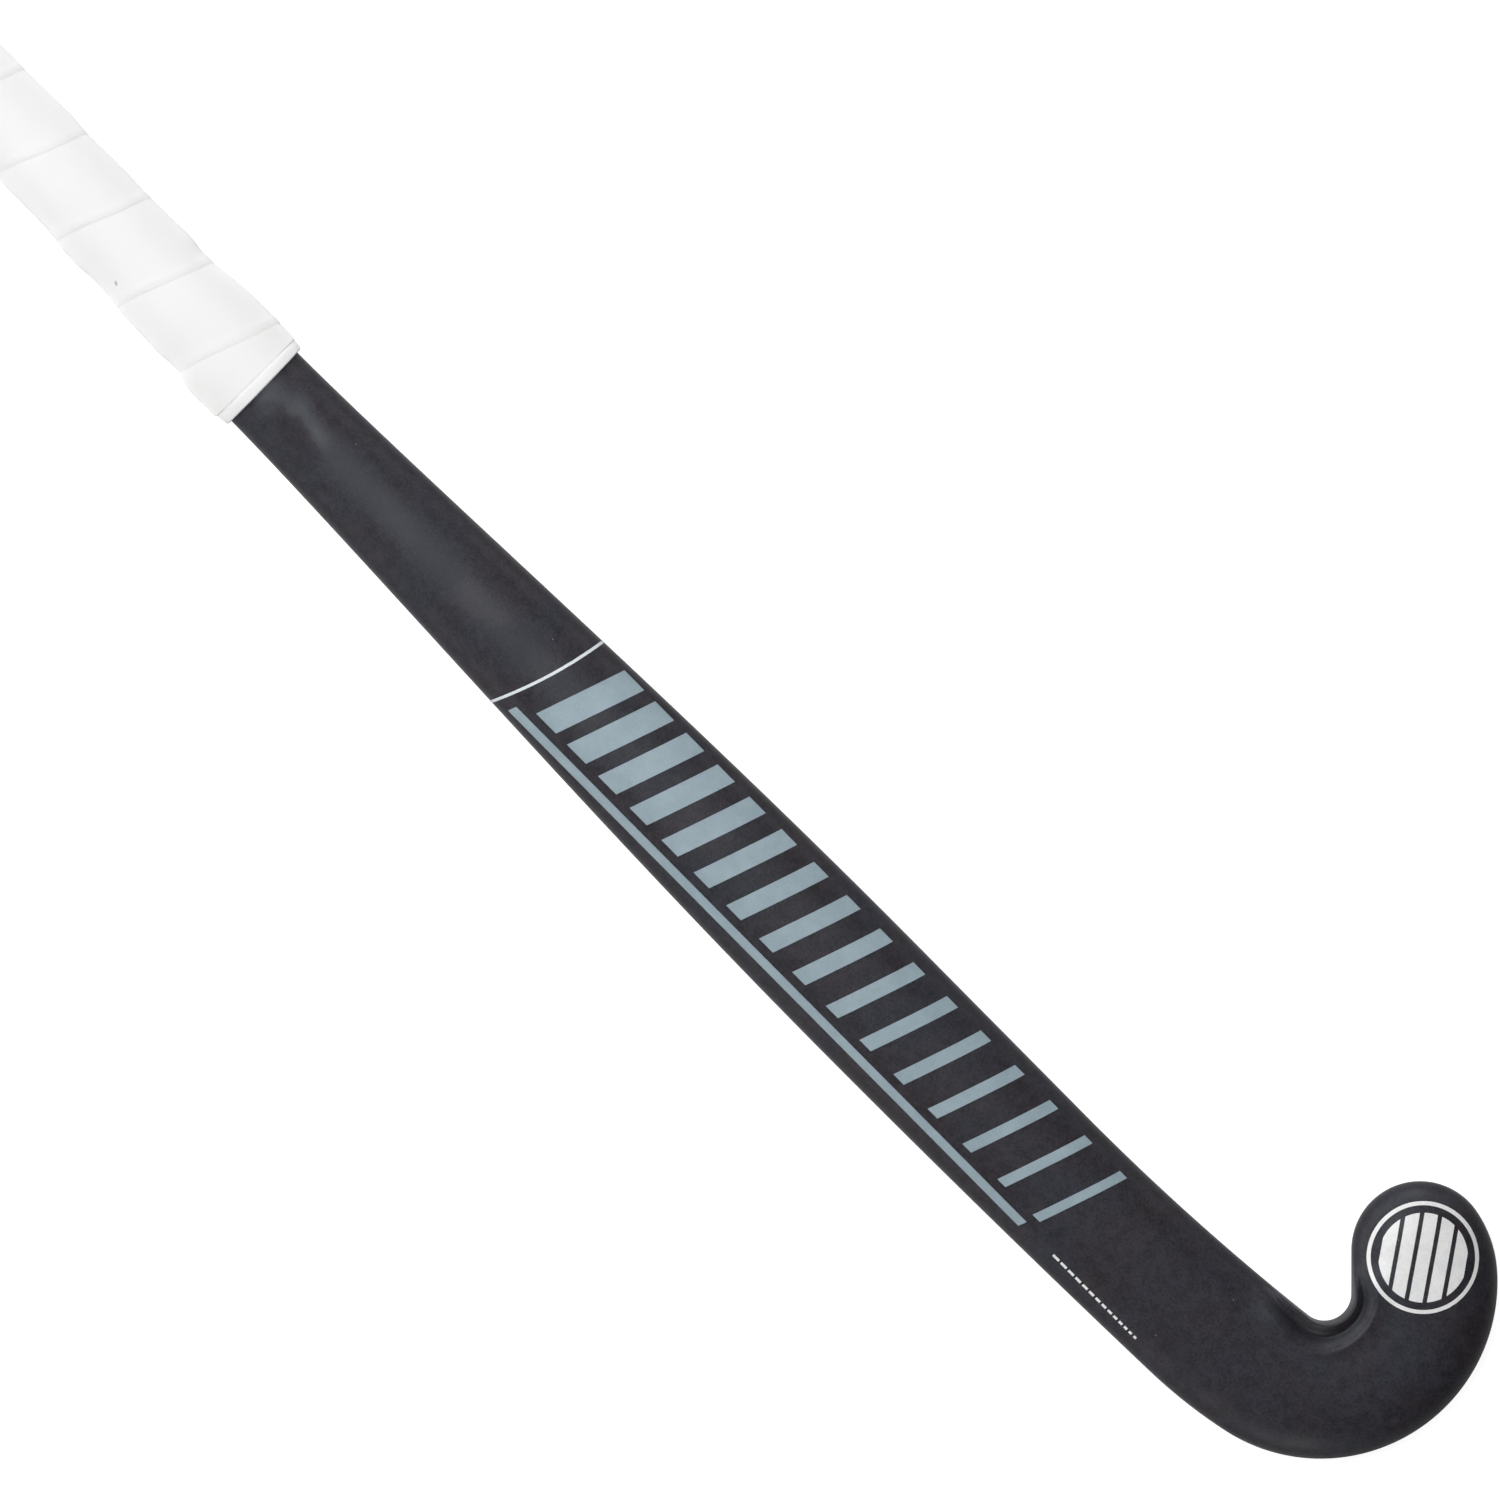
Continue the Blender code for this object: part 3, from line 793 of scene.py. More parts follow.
def makeBraidedTube(name, colours):
    # Resin-soaked braid of the inner tubes
    material, shader, vector = newMaterial(name)
    weave = effect("braid", vector, pitch=tube["pitch"])
    fine = effect("grain", vector, scale=tube["grainScale"])
    colour = mixColour(weave["strand"], *colours)
    colour = mixColour(fine["mottle"] * tube["resinShare"], colour, tube["resin"])
    surface(shader, colour, spread(fine["mottle"], *tube["roughness"]), weave["height"],
            tube["relief"])
    return material


finishes = {
    "lacquer": makeLacquer(),
    "paleInk": makeInk("paleStripeInk", ((0.71, 0.75, 0.79), (0.67, 0.71, 0.75))),
    "greyInk": makeInk("greyBlueInk", ((0.300, 0.385, 0.430), (0.275, 0.355, 0.400))),
    "badgeInk": makeInk("badgeInk", ((0.83, 0.83, 0.82), (0.79, 0.79, 0.79)), 0.42),
    "grip": makeCushionGrip(),
    "tape": makePlain("finishingTape", ((0.846, 0.840, 0.841), (0.832, 0.826, 0.827)), 0.62,
                      1000.0, 0.00003, 0.0, **cushion["shader"]),
    "cap": makePlain("capRubber", ((0.024, 0.024, 0.026), (0.036, 0.036, 0.038)), 0.62, 1600.0,
                     0.00006, 0.5),
    "foam": makePlain("coreFoam", ((0.74, 0.66, 0.42), (0.60, 0.52, 0.31)), 0.90, 700.0, 0.0003),
    "felt": makePlain("underlayTape", ((0.58, 0.58, 0.56), (0.48, 0.48, 0.46)), 0.85, 1100.0,
                      0.0001),
    "darkBraid": makeBraidedTube("braidedTube", ((0.055, 0.060, 0.050), (0.100, 0.105, 0.090))),
    "lightBraid": makeBraidedTube("braidedTubeLight",
                                  ((0.090, 0.095, 0.080), (0.150, 0.155, 0.135))),
}
print("materials ready")


# Body: the lacquered laminate of the whole stick, hollow, with its mouth at the butt

body = {
    "halfSteps": 92,
    "shaftStep": 0.0045,
    "handleStep": 0.015,
    "innerShaftStep": 0.020,
    "headSteps": (3, 5, 10, 4, 7),
    "outerFactor": 7,
    "innerFactor": 2,
    "edgeRange": 0.025,
    "start": 0.0047,
    "sharp": 40.0,
}


def shaftRib(s):
    half = float(width(s)) / 2
    return (s, -half, 0.0, 1.0), (s, half, 0.0, -1.0)


def headRib(outerDistance, innerDistance):
    x, y, heading = onPath(outerEdge, outerDistance)
    u, v, turned = onPath(innerEdge, innerDistance)
    return ((x, y, -math.sin(heading), math.cos(heading)),
            (u, v, math.sin(turned), -math.cos(turned)))


def allRibs(shaftStep, factor):
    stations = steps(body["start"], stick["gripLength"] - body["handleStep"], body["handleStep"])
    stations += steps(stations[-1], headStart, shaftStep)[1:]
    ribs = [shaftRib(s) for s in stations]
    heel, end = pathLength(outerEdge, 2), pathLength(outerEdge, 5)
    shares = (0.0, head["crookShare"], head["undersideShare"], 1.0)
    outerStops = [0.0, coreReach] + [mix(heel, end, share) for share in shares]
    innerStops = [0.0, coreReach] + [pathLength(innerEdge, pieces) for pieces in (2, 3, 4, 5)]
    for i, count in enumerate(body["headSteps"]):
        for step in range(1, count * factor + 1):
            f = step / (count * factor)
            ribs.append(headRib(*(mix(stops[i], stops[i + 1], f)
                                  for stops in (outerStops, innerStops))))
    return ribs


def ribRow(rib, inset):
    # One closed section: over the back from the heel side to the toe side, back along the face
    f = (1.0 - np.cos(math.pi * np.arange(body["halfSteps"] + 1) / body["halfSteps"])) / 2
    start, end = (np.array((x + u * inset, y + v * inset)) for x, y, u, v in rib)
    s, t = mix(start, end, f[:, None]).T
    deep = inwards(s, t)
    deep[0] = deep[-1] = inset
    back, recess = backHeight(s, t, deep)
    edgeRun = np.minimum(deep / body["edgeRange"], 1.0)
    if inset > 0.0:
        back, edgeRun, recess = heights(s, deep, inset)[0], np.ones(len(s)), np.zeros(len(s))
    under = place(s, t, heights(s, deep, inset)[1])
    values = np.stack((edgeRun, recess, s, t), axis=-1)
    return (np.concatenate((place(s, t, back), under[-2:0:-1])),
            np.concatenate((values, values[-2:0:-1] * (1.0, 0.0, 1.0, 1.0))))


def makeBody():
    outer = [ribRow(rib, 0.0) for rib in allRibs(body["shaftStep"], body["outerFactor"])]
    inner = [ribRow(rib, stick["wall"])
             for rib in allRibs(body["innerShaftStep"], body["innerFactor"])]
    rows, values = (list(part) for part in zip(*(inner[::-1] + outer)))
    # Both skins close in one point at the tip of the toe
    for part in (rows, values):
        part[0], part[-1] = part[0][:1], part[-1][:1]
    mesh = loftMesh("stick_body", rows, body["sharp"])
    columns = np.ascontiguousarray(np.concatenate(values).T, np.float32)
    for name, column in zip(("edgeRun", "recess", "alongStick", "acrossStick"), columns):
        mesh.attributes.new(name, "FLOAT", "POINT").data.foreach_set("value", column)
    return addPiece("stick_body", mesh, finishes["lacquer"])


stickBody = makeBody()
print("body:", len(stickBody.data.vertices), "points")


# Geometry Nodes: run a tree on an empty carrier and keep the result as a plain mesh

def runTree(name, tree, values):
    carrier = addObject(name, bpy.data.meshes.new(name))
    modifier = carrier.modifiers.new(name, "NODES")
    modifier.node_group = tree
    for item in tree.interface.items_tree:
        if item.in_out == "INPUT" and item.name in values:
            modifier[item.identifier] = values[item.name]
    mesh = plainMesh(carrier)
    bpy.data.objects.remove(carrier)
    return mesh


def curveNode(value, points, highX, highY):
    # A curve through (x, y) points in real sizes; value is the share of highX where it is read
    node = put(value.tree, "ShaderNodeFloatCurve", {"Value": value})
    curve = node.mapping.curves[0]
    for _ in points[2:]:
        curve.points.new(0.5, 0.5)
    for point, (x, y) in zip(curve.points, points):
        point.location = (x / highX, y / highY)
        point.handle_type = "AUTO_CLAMPED"
    node.mapping.update()
    return Value(value.tree, node.outputs[0]) * highY


def position(tree):
    where = get(tree, "GeometryNodeInputPosition")
    return get(tree, "ShaderNodeSeparateXYZ", {"Vector": where}, (0, 1))


def finishTree(geometry, material):
    tree = geometry.tree
    real = get(tree, "GeometryNodeRealizeInstances", {"Geometry": geometry})
    faced = get(tree, "GeometryNodeSetMaterial", {"Geometry": real, "Material": material})
    return giveOut(tree, {"geometry": faced}, "Geometry")


# Grip: one cushion strip wound from the lower end up, each turn lapping over the next one down

grip = {
    "top": 0.0047,
    "bottom": 0.37497,
    "pitch": 0.0316,
    "stripWidth": 0.0350,
    "leastWidth": 0.0004,
    "stepsPerTurn": 64,
    "sectionPoints": 60,
    "tallest": 0.0026,
    # Across the strip and out from the stick, in metres: outer side, then the underlay's side
    "outer": ((0.0, 0.00095), (0.0012, 0.00140), (0.0030, 0.00169), (0.0034, 0.00171),
              (0.0055, 0.00174), (0.0095, 0.00179), (0.0170, 0.00185), (0.0250, 0.00186),
              (0.0302, 0.00186), (0.0310, 0.00188), (0.0318, 0.00194), (0.0325, 0.00196),
              (0.0333, 0.00193), (0.0342, 0.00185), (0.0350, 0.00175)),
    "inner": ((0.0, 0.00055), (0.0295, 0.00055), (0.0312, 0.00134), (0.0322, 0.00168),
              (0.0350, 0.00170)),
    # How much fuller the winding is on each side of the stick, by the place along it
    "toeSide": ((0.0, 0.0006), (0.120, 0.0006), (0.236, 0.0031), (0.262, 0.0031),
                (0.271, 0.0025), (0.290, 0.0021), (0.308, 0.0014), (0.324, 0.0012),
                (0.334, 0.0001), (0.342, 0.0007), (0.362, 0.0014), (0.375, 0.0014)),
    "heelSide": ((0.0, 0.0006), (0.150, 0.0006), (0.266, -0.0006), (0.2865, -0.0010),
                 (0.2965, 0.0), (0.301, 0.0), (0.314, -0.0010), (0.3265, -0.0001), (0.345, 0.0),
                 (0.3525, -0.0007), (0.360, 0.0013), (0.375, 0.0015)),
    "sideSpare": 0.0015,
    "sideReach": 0.0050,
    "lipStart": 0.0295,
    "lipEnd": 0.0312,
    "thinnest": 0.0001,
    "spread": ((0.0, 0.0), (0.10, 0.035), (0.55, 0.83), (0.75, 0.92), (1.0, 1.0)),
    "thinning": 0.024,
    "thinShare": 0.92,
    "endRounding": 0.0120,
    "endShare": 0.72,
    "unevenness": 0.00010,
    "unevenScale": 1.1,
    "unevenAlong": 60.0,
    "wander": 0.0006,
    "wanderScale": 0.9,
    "wanderSeed": 3.7,
    "straighter": 0.100,
    "faster": 0.045,
    "startAngle": 66.0,
    "cutLean": 0.0010,
    "joinWithin": 2e-6,
    "sharp": 50.0,
}


def makeGripTree():
    tree, given = newGroup("windStrip", "GeometryNodeTree", {
        "columns": 100, "sectionPoints": 40, "material": "Material", "turns": 1.0,
        "firstTurn": 0.0, "top": 0.0, "bottom": 1.0, "pitch": 0.03, "stripWidth": 0.03,
        "thinning": 0.02, "thinShare": 1.0, "endRounding": 0.01, "endShare": 1.0,
        "unevenness": 0.0, "wander": 0.0, "straighter": 0.0, "faster": 0.0, "startAngle": 0.0,
        "cutLean": 0.0})
    # A flat grid, one turn long for each metre in X, is rolled up round the handle
    grid = get(tree, "GeometryNodeMeshGrid", {
        "Size X": given["turns"], "Size Y": 1.0, "Vertices X": given["columns"],
        "Vertices Y": given["sectionPoints"] + 1.0}, "Mesh")
    x, y = position(tree)
    turn = x + given["turns"] * 0.5 + given["firstTurn"]
    # Its width goes once round the strip's section: first half and last point on the outer side
    loop = y + 0.5
    isOuter = calc("MAXIMUM", calc("LESS_THAN", loop, 0.49999),
                   calc("GREATER_THAN", loop, 0.99999))
    share = curveNode(1.0 - calc("ABSOLUTE", loop * 2.0 - 1.0), grip["spread"], 1.0, 1.0)
    angle = turn * (2.0 * math.pi) - given["startAngle"]
    sine, cosine = calc("SINE", angle), calc("COSINE", angle)

    # Place along the handle, drawn straighter over the back, cut square at the cap and the band
    wander = noise(combined(tree, X=turn, Y=grip["wanderSeed"]), grip["wanderScale"], 1.0) - 0.5
    lead = given["top"] + given["pitch"] * turn + wander * given["wander"]
    lead = lead + (cosine * given["straighter"] - given["faster"]) * sine * given["pitch"]
    cut = given["bottom"] + cosine * given["cutLean"]
    s = calc("MAXIMUM", lead + share * given["stripWidth"], given["top"])
    s = calc("MINIMUM", s, cut)
    run = calc("MINIMUM", calc("MAXIMUM", s - lead, 0.0), given["stripWidth"])
    across = run / given["stripWidth"]

    # Height over the bare stick
    outer, inner = (curveNode(across, grip[side], grip["stripWidth"], grip["tallest"])
                    for side in ("outer", "inner"))
    offset = outer * isOuter + inner * (1.0 - isOuter)
    around = combined(tree, X=s * grip["unevenAlong"], Y=sine, Z=cosine)
    uneven = (noise(around, grip["unevenScale"]) - 0.5) * given["unevenness"]
    thin = mapped(s, cut - given["thinning"], cut, 1.0, given["thinShare"])
    curl = mapped(s, cut - given["endRounding"], cut, 1.0, given["endShare"])
    base = grip["inner"][0][1]
    offset = (offset - base) * (thin * curl) + base + uneven

    # The winding is fuller on one side than on the other; its lips keep lying on each other
    bulge = 0.0
    for side, facing in (("toeSide", sine), ("heelSide", sine * -1.0)):
        points = [(x, y + grip["sideSpare"]) for x, y in grip[side]]
        fuller = curveNode(s / stick["gripLength"], points, stick["gripLength"],
                           grip["sideReach"])
        bulge = (fuller - grip["sideSpare"]) * calc("MAXIMUM", facing, 0.0) + bulge
    lip = calc("MAXIMUM", isOuter, mapped(run, grip["lipStart"], grip["lipEnd"]))
    side = calc("MAXIMUM", offset + bulge * lip, base + isOuter * grip["thinnest"])

    # The oval section of the handle
    half = mapped(s, stick["handleStraight"], stick["gripLength"], stick["handleWidth"] / 2,
                  stick["gripEndWidth"] / 2)
    middle = mapped(s, 0.0, stick["gripLength"], stick["handleThickness"] / 2,
                    stick["gripEndThickness"] / 2, "LINEAR")
    power = stick["sectionPower"]
    up = 1.0 - calc("POWER", calc("MINIMUM", calc("ABSOLUTE", sine), 1.0), power)
    up = calc("POWER", up, 1.0 / power) * calc("SIGN", cosine)
    t, n = (half + side) * sine, middle + (middle + offset) * up
    wound = grid
    for name, value in (("across", across), ("alongStick", s), ("acrossStick", t)):
        wound = get(tree, "GeometryNodeStoreNamedAttribute", {
            "Geometry": wound, "Name": name, "Value": value}, data_type="FLOAT", domain="POINT")
    wound = get(tree, "GeometryNodeSetPosition", {
        "Geometry": wound, "Position": combined(tree, X=s, Y=t, Z=n)})
    wound = get(tree, "GeometryNodeMergeByDistance", {
        "Geometry": wound, "Distance": grip["joinWithin"]})
    return finishTree(wound, given["material"])


def closeUp(mesh, sharp):
    # Fills the small end openings and turns every face outwards
    with editing(mesh) as bm:
        bmesh.ops.dissolve_degenerate(bm, edges=bm.edges, dist=1e-7)
        openEdges = [edge for edge in bm.edges if edge.is_boundary]
        if openEdges:
            bmesh.ops.holes_fill(bm, edges=openEdges, sides=0)
        bmesh.ops.recalc_face_normals(bm, faces=bm.faces)
    smoothed(mesh, sharp)


def makeGrip():
    firstTurn = (grip["leastWidth"] - grip["stripWidth"]) / grip["pitch"]
    lastTurn = grip["bottom"] - grip["cutLean"] - grip["top"] - grip["leastWidth"]
    turns = lastTurn / grip["pitch"] - firstTurn
    mesh = runTree("cushion_grip_strip", makeGripTree(), {
        **grip, "columns": round(turns * grip["stepsPerTurn"]), "material": finishes["grip"],
        "turns": turns, "firstTurn": firstTurn, "startAngle": math.radians(grip["startAngle"])})
    closeUp(mesh, grip["sharp"])
    return addPiece("cushion_grip_strip", mesh, finishes["grip"])


gripStrip = makeGrip()
print("grip:", len(gripStrip.data.vertices), "points")


# Finishing tape round the lower end of the grip, two thin layers with a visible lap

tape = {
    "width": 0.0045,
    "slant": 0.0004,
    "fuller": 0.0010,
    "fullerFade": 0.6,
    "under": 0.00025,
    "build": 0.00100,
    "layer": 0.00012,
    "crown": 0.00003,
    "corner": 0.00060,
    "cornerTurns": (0.0, 22.5, 45.0, 67.5, 90.0),
    "seamCorner": 0.00006,
    "columns": 120,
    "lapAngle": 200.0,
    "sharp": 60.0,
}


def makeTape():
    rows = []
    start, under, corner = grip["bottom"], tape["under"], tape["corner"]
    end, seamEnd = start + tape["width"], start + tape["seamCorner"]
    for column in range(tape["columns"] + 1):
        around = column / tape["columns"]
        outside = under + tape["build"] + tape["layer"] * around
        profile = [(start, under), (start, outside - tape["seamCorner"]), (seamEnd, outside),
                   ((start + end) / 2, outside + tape["crown"])]
        for turn in tape["cornerTurns"]:
            cosine, sine = cosSin(turn)
            profile.append((end - corner * (1.0 - sine), outside - corner * (1.0 - cosine)))
        profile.append((end, under))
        angle = 2.0 * math.pi * around + math.radians(tape["lapAngle"])
        lean, slant = grip["cutLean"] * math.cos(angle), tape["slant"] * math.sin(angle)
        row = []
        for s, offset in profile:
            share = (s - start) / tape["width"]
            fuller = tape["fuller"] * abs(math.sin(angle)) * (1.0 - tape["fullerFade"] * share ** 2)
            row.append(handlePoint(s + lean - slant * share, angle, offset,
                                   fuller * (offset > under)))
        rows.append(np.array(row))
    rows.append(rows[0])
    mesh = loftMesh("finishing_tape", rows, tape["sharp"])
    with editing(mesh) as bm:
        bmesh.ops.remove_doubles(bm, verts=bm.verts, dist=weldWithin)
        bmesh.ops.recalc_face_normals(bm, faces=bm.faces)
    return addPiece("finishing_tape", mesh, finishes["tape"])


finishingTape = makeTape()
print("finishing tape ready")


# End cap: moulded rubber with a rounded rim, a shallow groove round its face, and its spigot

cap = {
    "thickness": 0.0044,
    "overhang": 0.0030,
    "edge": 0.0014,
    "spigot": 0.0240,
    "faceShares": (0.15, 0.35, 0.55, 0.66),
    "grooveShares": (0.70, 0.73, 0.77, 0.80),
    "grooveDepths": (0.0, 0.0005, 0.0005, 0.0),
    "rimShare": 0.90,
    "rimSteps": 8,
    "ringPoints": 96,
    "sharp": 35.0,
    # Rounding of the end of the skirt, of the neck and of the spigot: along the stick and outwards
    "skirt": ((-0.0006, 0.0), (-0.0002, -0.0001), (0.0, -0.0004)),
    "neck": ((0.0, 0.0003), (0.0003, 0.0)),
    "spigotTip": ((-0.001, 0.0), (0.0, -0.0008)),
}


def ring(s, offset, share=1.0):
    # One closed section of the oval handle
    count = cap["ringPoints"]
    angle = np.arange(count) * 2.0 * math.pi / count - math.pi / 2
    return handlePoint(s, angle, offset, 0.0, share)


def makeCap():
    inset, overhang, edge = -(stick["wall"] + stick["fitGap"]), cap["overhang"], cap["edge"]
    end = cap["thickness"]
    spigotEnd = end + stick["fitGap"] + cap["spigot"]
    face = [(share, 0.0) for share in cap["faceShares"]]
    face += [*zip(cap["grooveShares"], cap["grooveDepths"]), (cap["rimShare"], 0.0)]
    rows = [ring(deep, overhang - edge, share) for share, deep in face]
    for i in range(cap["rimSteps"] + 1):
        angle = math.pi / 2 * i / cap["rimSteps"]
        rows.append(ring(edge * (1.0 - math.cos(angle)), overhang - edge + edge * math.sin(angle)))
    for key, s, offset in (("skirt", end, overhang), ("neck", end, inset),
                           ("spigotTip", spigotEnd, inset)):
        rows += [ring(s + x, offset + y) for x, y in cap[key]]
    rows = [ring(0.0, 0.0, 0.0)[:1], *rows, ring(spigotEnd, 0.0, 0.0)[:1]]
    return addPiece("butt_cap", loftMesh("butt_cap", rows, cap["sharp"]), finishes["cap"])


buttCap = makeCap()
print("end cap ready")


# Printing on the back: thin films of ink that follow the surface

film = {
    "lift": 0.00007,
    "thickness": 0.00005,
    "sharp": 50.0,
}


def addFilm(name, mesh, finish):
    # mesh holds points on the back in stick coordinates; it gets its lift and its thickness
    with editing(mesh) as bm:
        bmesh.ops.remove_doubles(bm, verts=bm.verts, dist=weldWithin)
        bm.normal_update()
        if sum(face.normal.z * face.calc_area() for face in bm.faces) < 0.0:
            bmesh.ops.reverse_faces(bm, faces=bm.faces)
            bm.normal_update()
        moves = [(vertex, vertex.normal * film["lift"]) for vertex in bm.verts]
        for vertex, move in moves:
            vertex.co += move
    mesh.shade_smooth()
    obj = addPiece(name, mesh, finishes[finish])
    solidify = obj.modifiers.new("thickness", "SOLIDIFY")
    solidify.thickness = film["thickness"]
    solidify.offset = -1.0
    obj.data = plainMesh(obj)
    obj.modifiers.clear()
    obj.data.set_sharp_from_angle(angle=math.radians(film["sharp"]))


def layOnBack(mesh, centre=(0.0, 0.0), turn=0.0):
    # Turns and moves a flat drawing in s and t, then drops every point on the back
    flat = np.empty(len(mesh.vertices) * 3)
    mesh.vertices.foreach_get("co", flat)
    x, y, _ = flat.reshape(-1, 3).T
    c, d = cosSin(turn)
    points = onBack(centre[0] + x * c - y * d, centre[1] + x * d + y * c)
    mesh.vertices.foreach_set("co", points.ravel())
    mesh.update()
    return mesh


def makeBarTree(shape):
    # A row of bars whose widths and gaps change evenly; slanted on the shaft, cut round on a disc
    tree, given = newGroup("bars_" + shape, "GeometryNodeTree", {
        "count": 5, "cellsAcross": 8, "cellsAlong": 30, "material": "Material", "start": 0.0,
        "firstWidth": 0.0, "lastWidth": 0.0, "firstGap": 0.0, "lastGap": 0.0, "lowSide": 0.0,
        "highSide": 0.0, "slant": 0.0, "radius": 0.0})
    index, rest = get(tree, "GeometryNodeInputIndex"), given["count"] - 1.0
    widthStep = (given["lastWidth"] - given["firstWidth"]) / rest
    gapStep = (given["lastGap"] - given["firstGap"]) / rest
    barWidth = given["firstWidth"] + widthStep * index
    pairs = index * (index - 1.0) * 0.5
    before = index * (given["firstWidth"] + given["firstGap"]) + pairs * (widthStep + gapStep)
    points = get(tree, "GeometryNodePoints", {
        "Count": given["count"],
        "Position": combined(tree, X=given["start"] + before + barWidth * 0.5)})
    cell = get(tree, "GeometryNodeMeshGrid", {
        "Size X": 1.0, "Size Y": 1.0, "Vertices X": given["cellsAcross"],
        "Vertices Y": given["cellsAlong"]}, "Mesh")
    drawn = get(tree, "GeometryNodeInstanceOnPoints", {
        "Points": points, "Instance": cell, "Scale": combined(tree, X=barWidth, Y=1.0, Z=1.0)})
    drawn = get(tree, "GeometryNodeRealizeInstances", {"Geometry": drawn})
    x, y = position(tree)
    if shape == "disc":
        s, within = x, given["radius"] * given["radius"] - x * x
        t = y * 2.0 * calc("SQRT", calc("MAXIMUM", within, 0.0))
    else:
        t = given["lowSide"] + (y + 0.5) * (given["highSide"] - given["lowSide"])
        s = x + t * calc("TANGENT", given["slant"])
    drawn = get(tree, "GeometryNodeSetPosition", {
        "Geometry": drawn, "Position": combined(tree, X=s, Y=t)})
    return finishTree(drawn, given["material"])


barTrees = {shape: makeBarTree(shape) for shape in ("slanted", "disc")}


def printBars(name, shape, finish, values, **spot):
    mesh = runTree(name, barTrees[shape], {
        **values, "material": finishes[finish], "slant": math.radians(values.get("slant", 0.0))})
    addFilm(name, layOnBack(mesh, **spot), finish)


stripe = {
    "heelEnd": 0.5137,
    "middle": 0.5216,
    "toeEnd": 0.5263,
    "width": 0.0011,
    "columns": 90,
    "rows": 5,
}

bars = {
    "count": 16,
    "cellsAcross": 8,
    "cellsAlong": 40,
    "start": 0.5320,
    "firstWidth": 0.0098,
    "lastWidth": 0.0036,
    "firstGap": 0.0054,
    "lastGap": 0.0143,
    "lowSide": -0.0128,
    "highSide": 0.0198,
    "slant": 18.5,
}

heelLine = {
    "count": 1,
    "cellsAcross": 200,
    "cellsAlong": 5,
    "start": 0.5265,
    "firstWidth": 0.2540,
    "lastWidth": 0.2540,
    "lowSide": -0.0191,
    "highSide": -0.0161,
    "slant": 18.5,
}

dashes = {
    "count": 14,
    "cellsAcross": 4,
    "cellsAlong": 3,
    "start": 0.7900,
    "firstWidth": 0.0030,
    "lastWidth": 0.0012,
    "firstGap": 0.0009,
    "lastGap": 0.0010,
    "lowSide": -0.01805,
    "highSide": -0.01715,
}

# A plain roundel on the toe: a disc of parallel bars in a thin ring
badge = {
    "centre": (0.8826, 0.0742),
    "turn": 35.0,
    "radius": 0.0198,
    "ringWidth": 0.0014,
    "ringRows": 5,
    "ringPoints": 120,
    "bars": {
        "count": 5,
        "cellsAcross": 24,
        "cellsAlong": 40,
        "start": -0.0152,
        "firstWidth": 0.0048,
        "lastWidth": 0.0048,
        "firstGap": 0.0016,
        "lastGap": 0.0016,
        "radius": 0.0158,
    },
}


def makeStripe():
    # The pale line across the shaft, from edge to edge, swept a little towards the head
    tau = -np.cos(math.pi * np.arange(stripe["columns"] + 1) / stripe["columns"])
    lean = (stripe["toeEnd"] - stripe["heelEnd"]) / 2
    sweep = (stripe["toeEnd"] + stripe["heelEnd"]) / 2 - stripe["middle"]
    middle = stripe["middle"] + lean * tau + sweep * tau ** 2
    mesh = bpy.data.meshes.new("printed_stripe")
    rows = []
    with editing(mesh) as bm:
        for i in range(stripe["rows"]):
            s = middle + stripe["width"] * (i / (stripe["rows"] - 1) - 0.5)
            half = width(s) / 2
            points = onBack(s, half * tau, half * (1.0 - np.abs(tau)))
            rows.append([bm.verts.new(point) for point in points])
        for first, second in zip(rows, rows[1:]):
            for i in range(stripe["columns"]):
                bm.faces.new((first[i], second[i], second[i + 1], first[i + 1]))
    addFilm("printed_stripe", mesh, "paleInk")


def makeBadgeRing():
    count = badge["ringPoints"]
    mesh = bpy.data.meshes.new("printed_badge_ring")
    rows = []
    with editing(mesh) as bm:
        for i in range(badge["ringRows"]):
            radius = badge["radius"] - badge["ringWidth"] * i / (badge["ringRows"] - 1)
            rows.append([bm.verts.new((radius * math.cos(a), radius * math.sin(a), 0.0))
                         for a in np.arange(count) * 2.0 * math.pi / count])
        for first, second in zip(rows, rows[1:]):
            for i in range(count):
                j = (i + 1) % count
                bm.faces.new((first[i], first[j], second[j], second[i]))
    addFilm("printed_badge_ring", layOnBack(mesh, badge["centre"]), "badgeInk")


makeStripe()
printBars("printed_bars", "slanted", "greyInk", bars)
printBars("printed_heel_line", "slanted", "greyInk", heelLine)
printBars("printed_dashes", "slanted", "badgeInk", dashes)
printBars("printed_badge_bars", "disc", "badgeInk", badge["bars"], centre=badge["centre"],
          turn=badge["turn"])
makeBadgeRing()
print("printing ready")


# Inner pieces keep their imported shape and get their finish

inside = {
    "heel_side_tube": "darkBraid",
    "toe_side_tube": "lightBraid",
    "head_core": "foam",
    "butt_foam_plug": "foam",
    "grip_underlay": "felt",
}
for node, finish in inside.items():
    materials = frame["nodes"][node].data.materials
    materials.clear()
    materials.append(finishes[finish])

# Every piece rides on the one body of the stick
for obj in list(bpy.data.objects):
    if obj.type == "MESH" and "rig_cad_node" not in obj:
        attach(obj, "root")
for obj, node, slot in ((stickBody, "outer_shell", "lacquered_laminate"),
                        (gripStrip, "cushion_grip", "cushion_grip"),
                        (buttCap, "end_cap", "end_cap"),
                        (finishingTape, "finishing_band", "finishing_band")):
    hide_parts(node)


# Studio: pale floor, soft light and the camera square over the stick

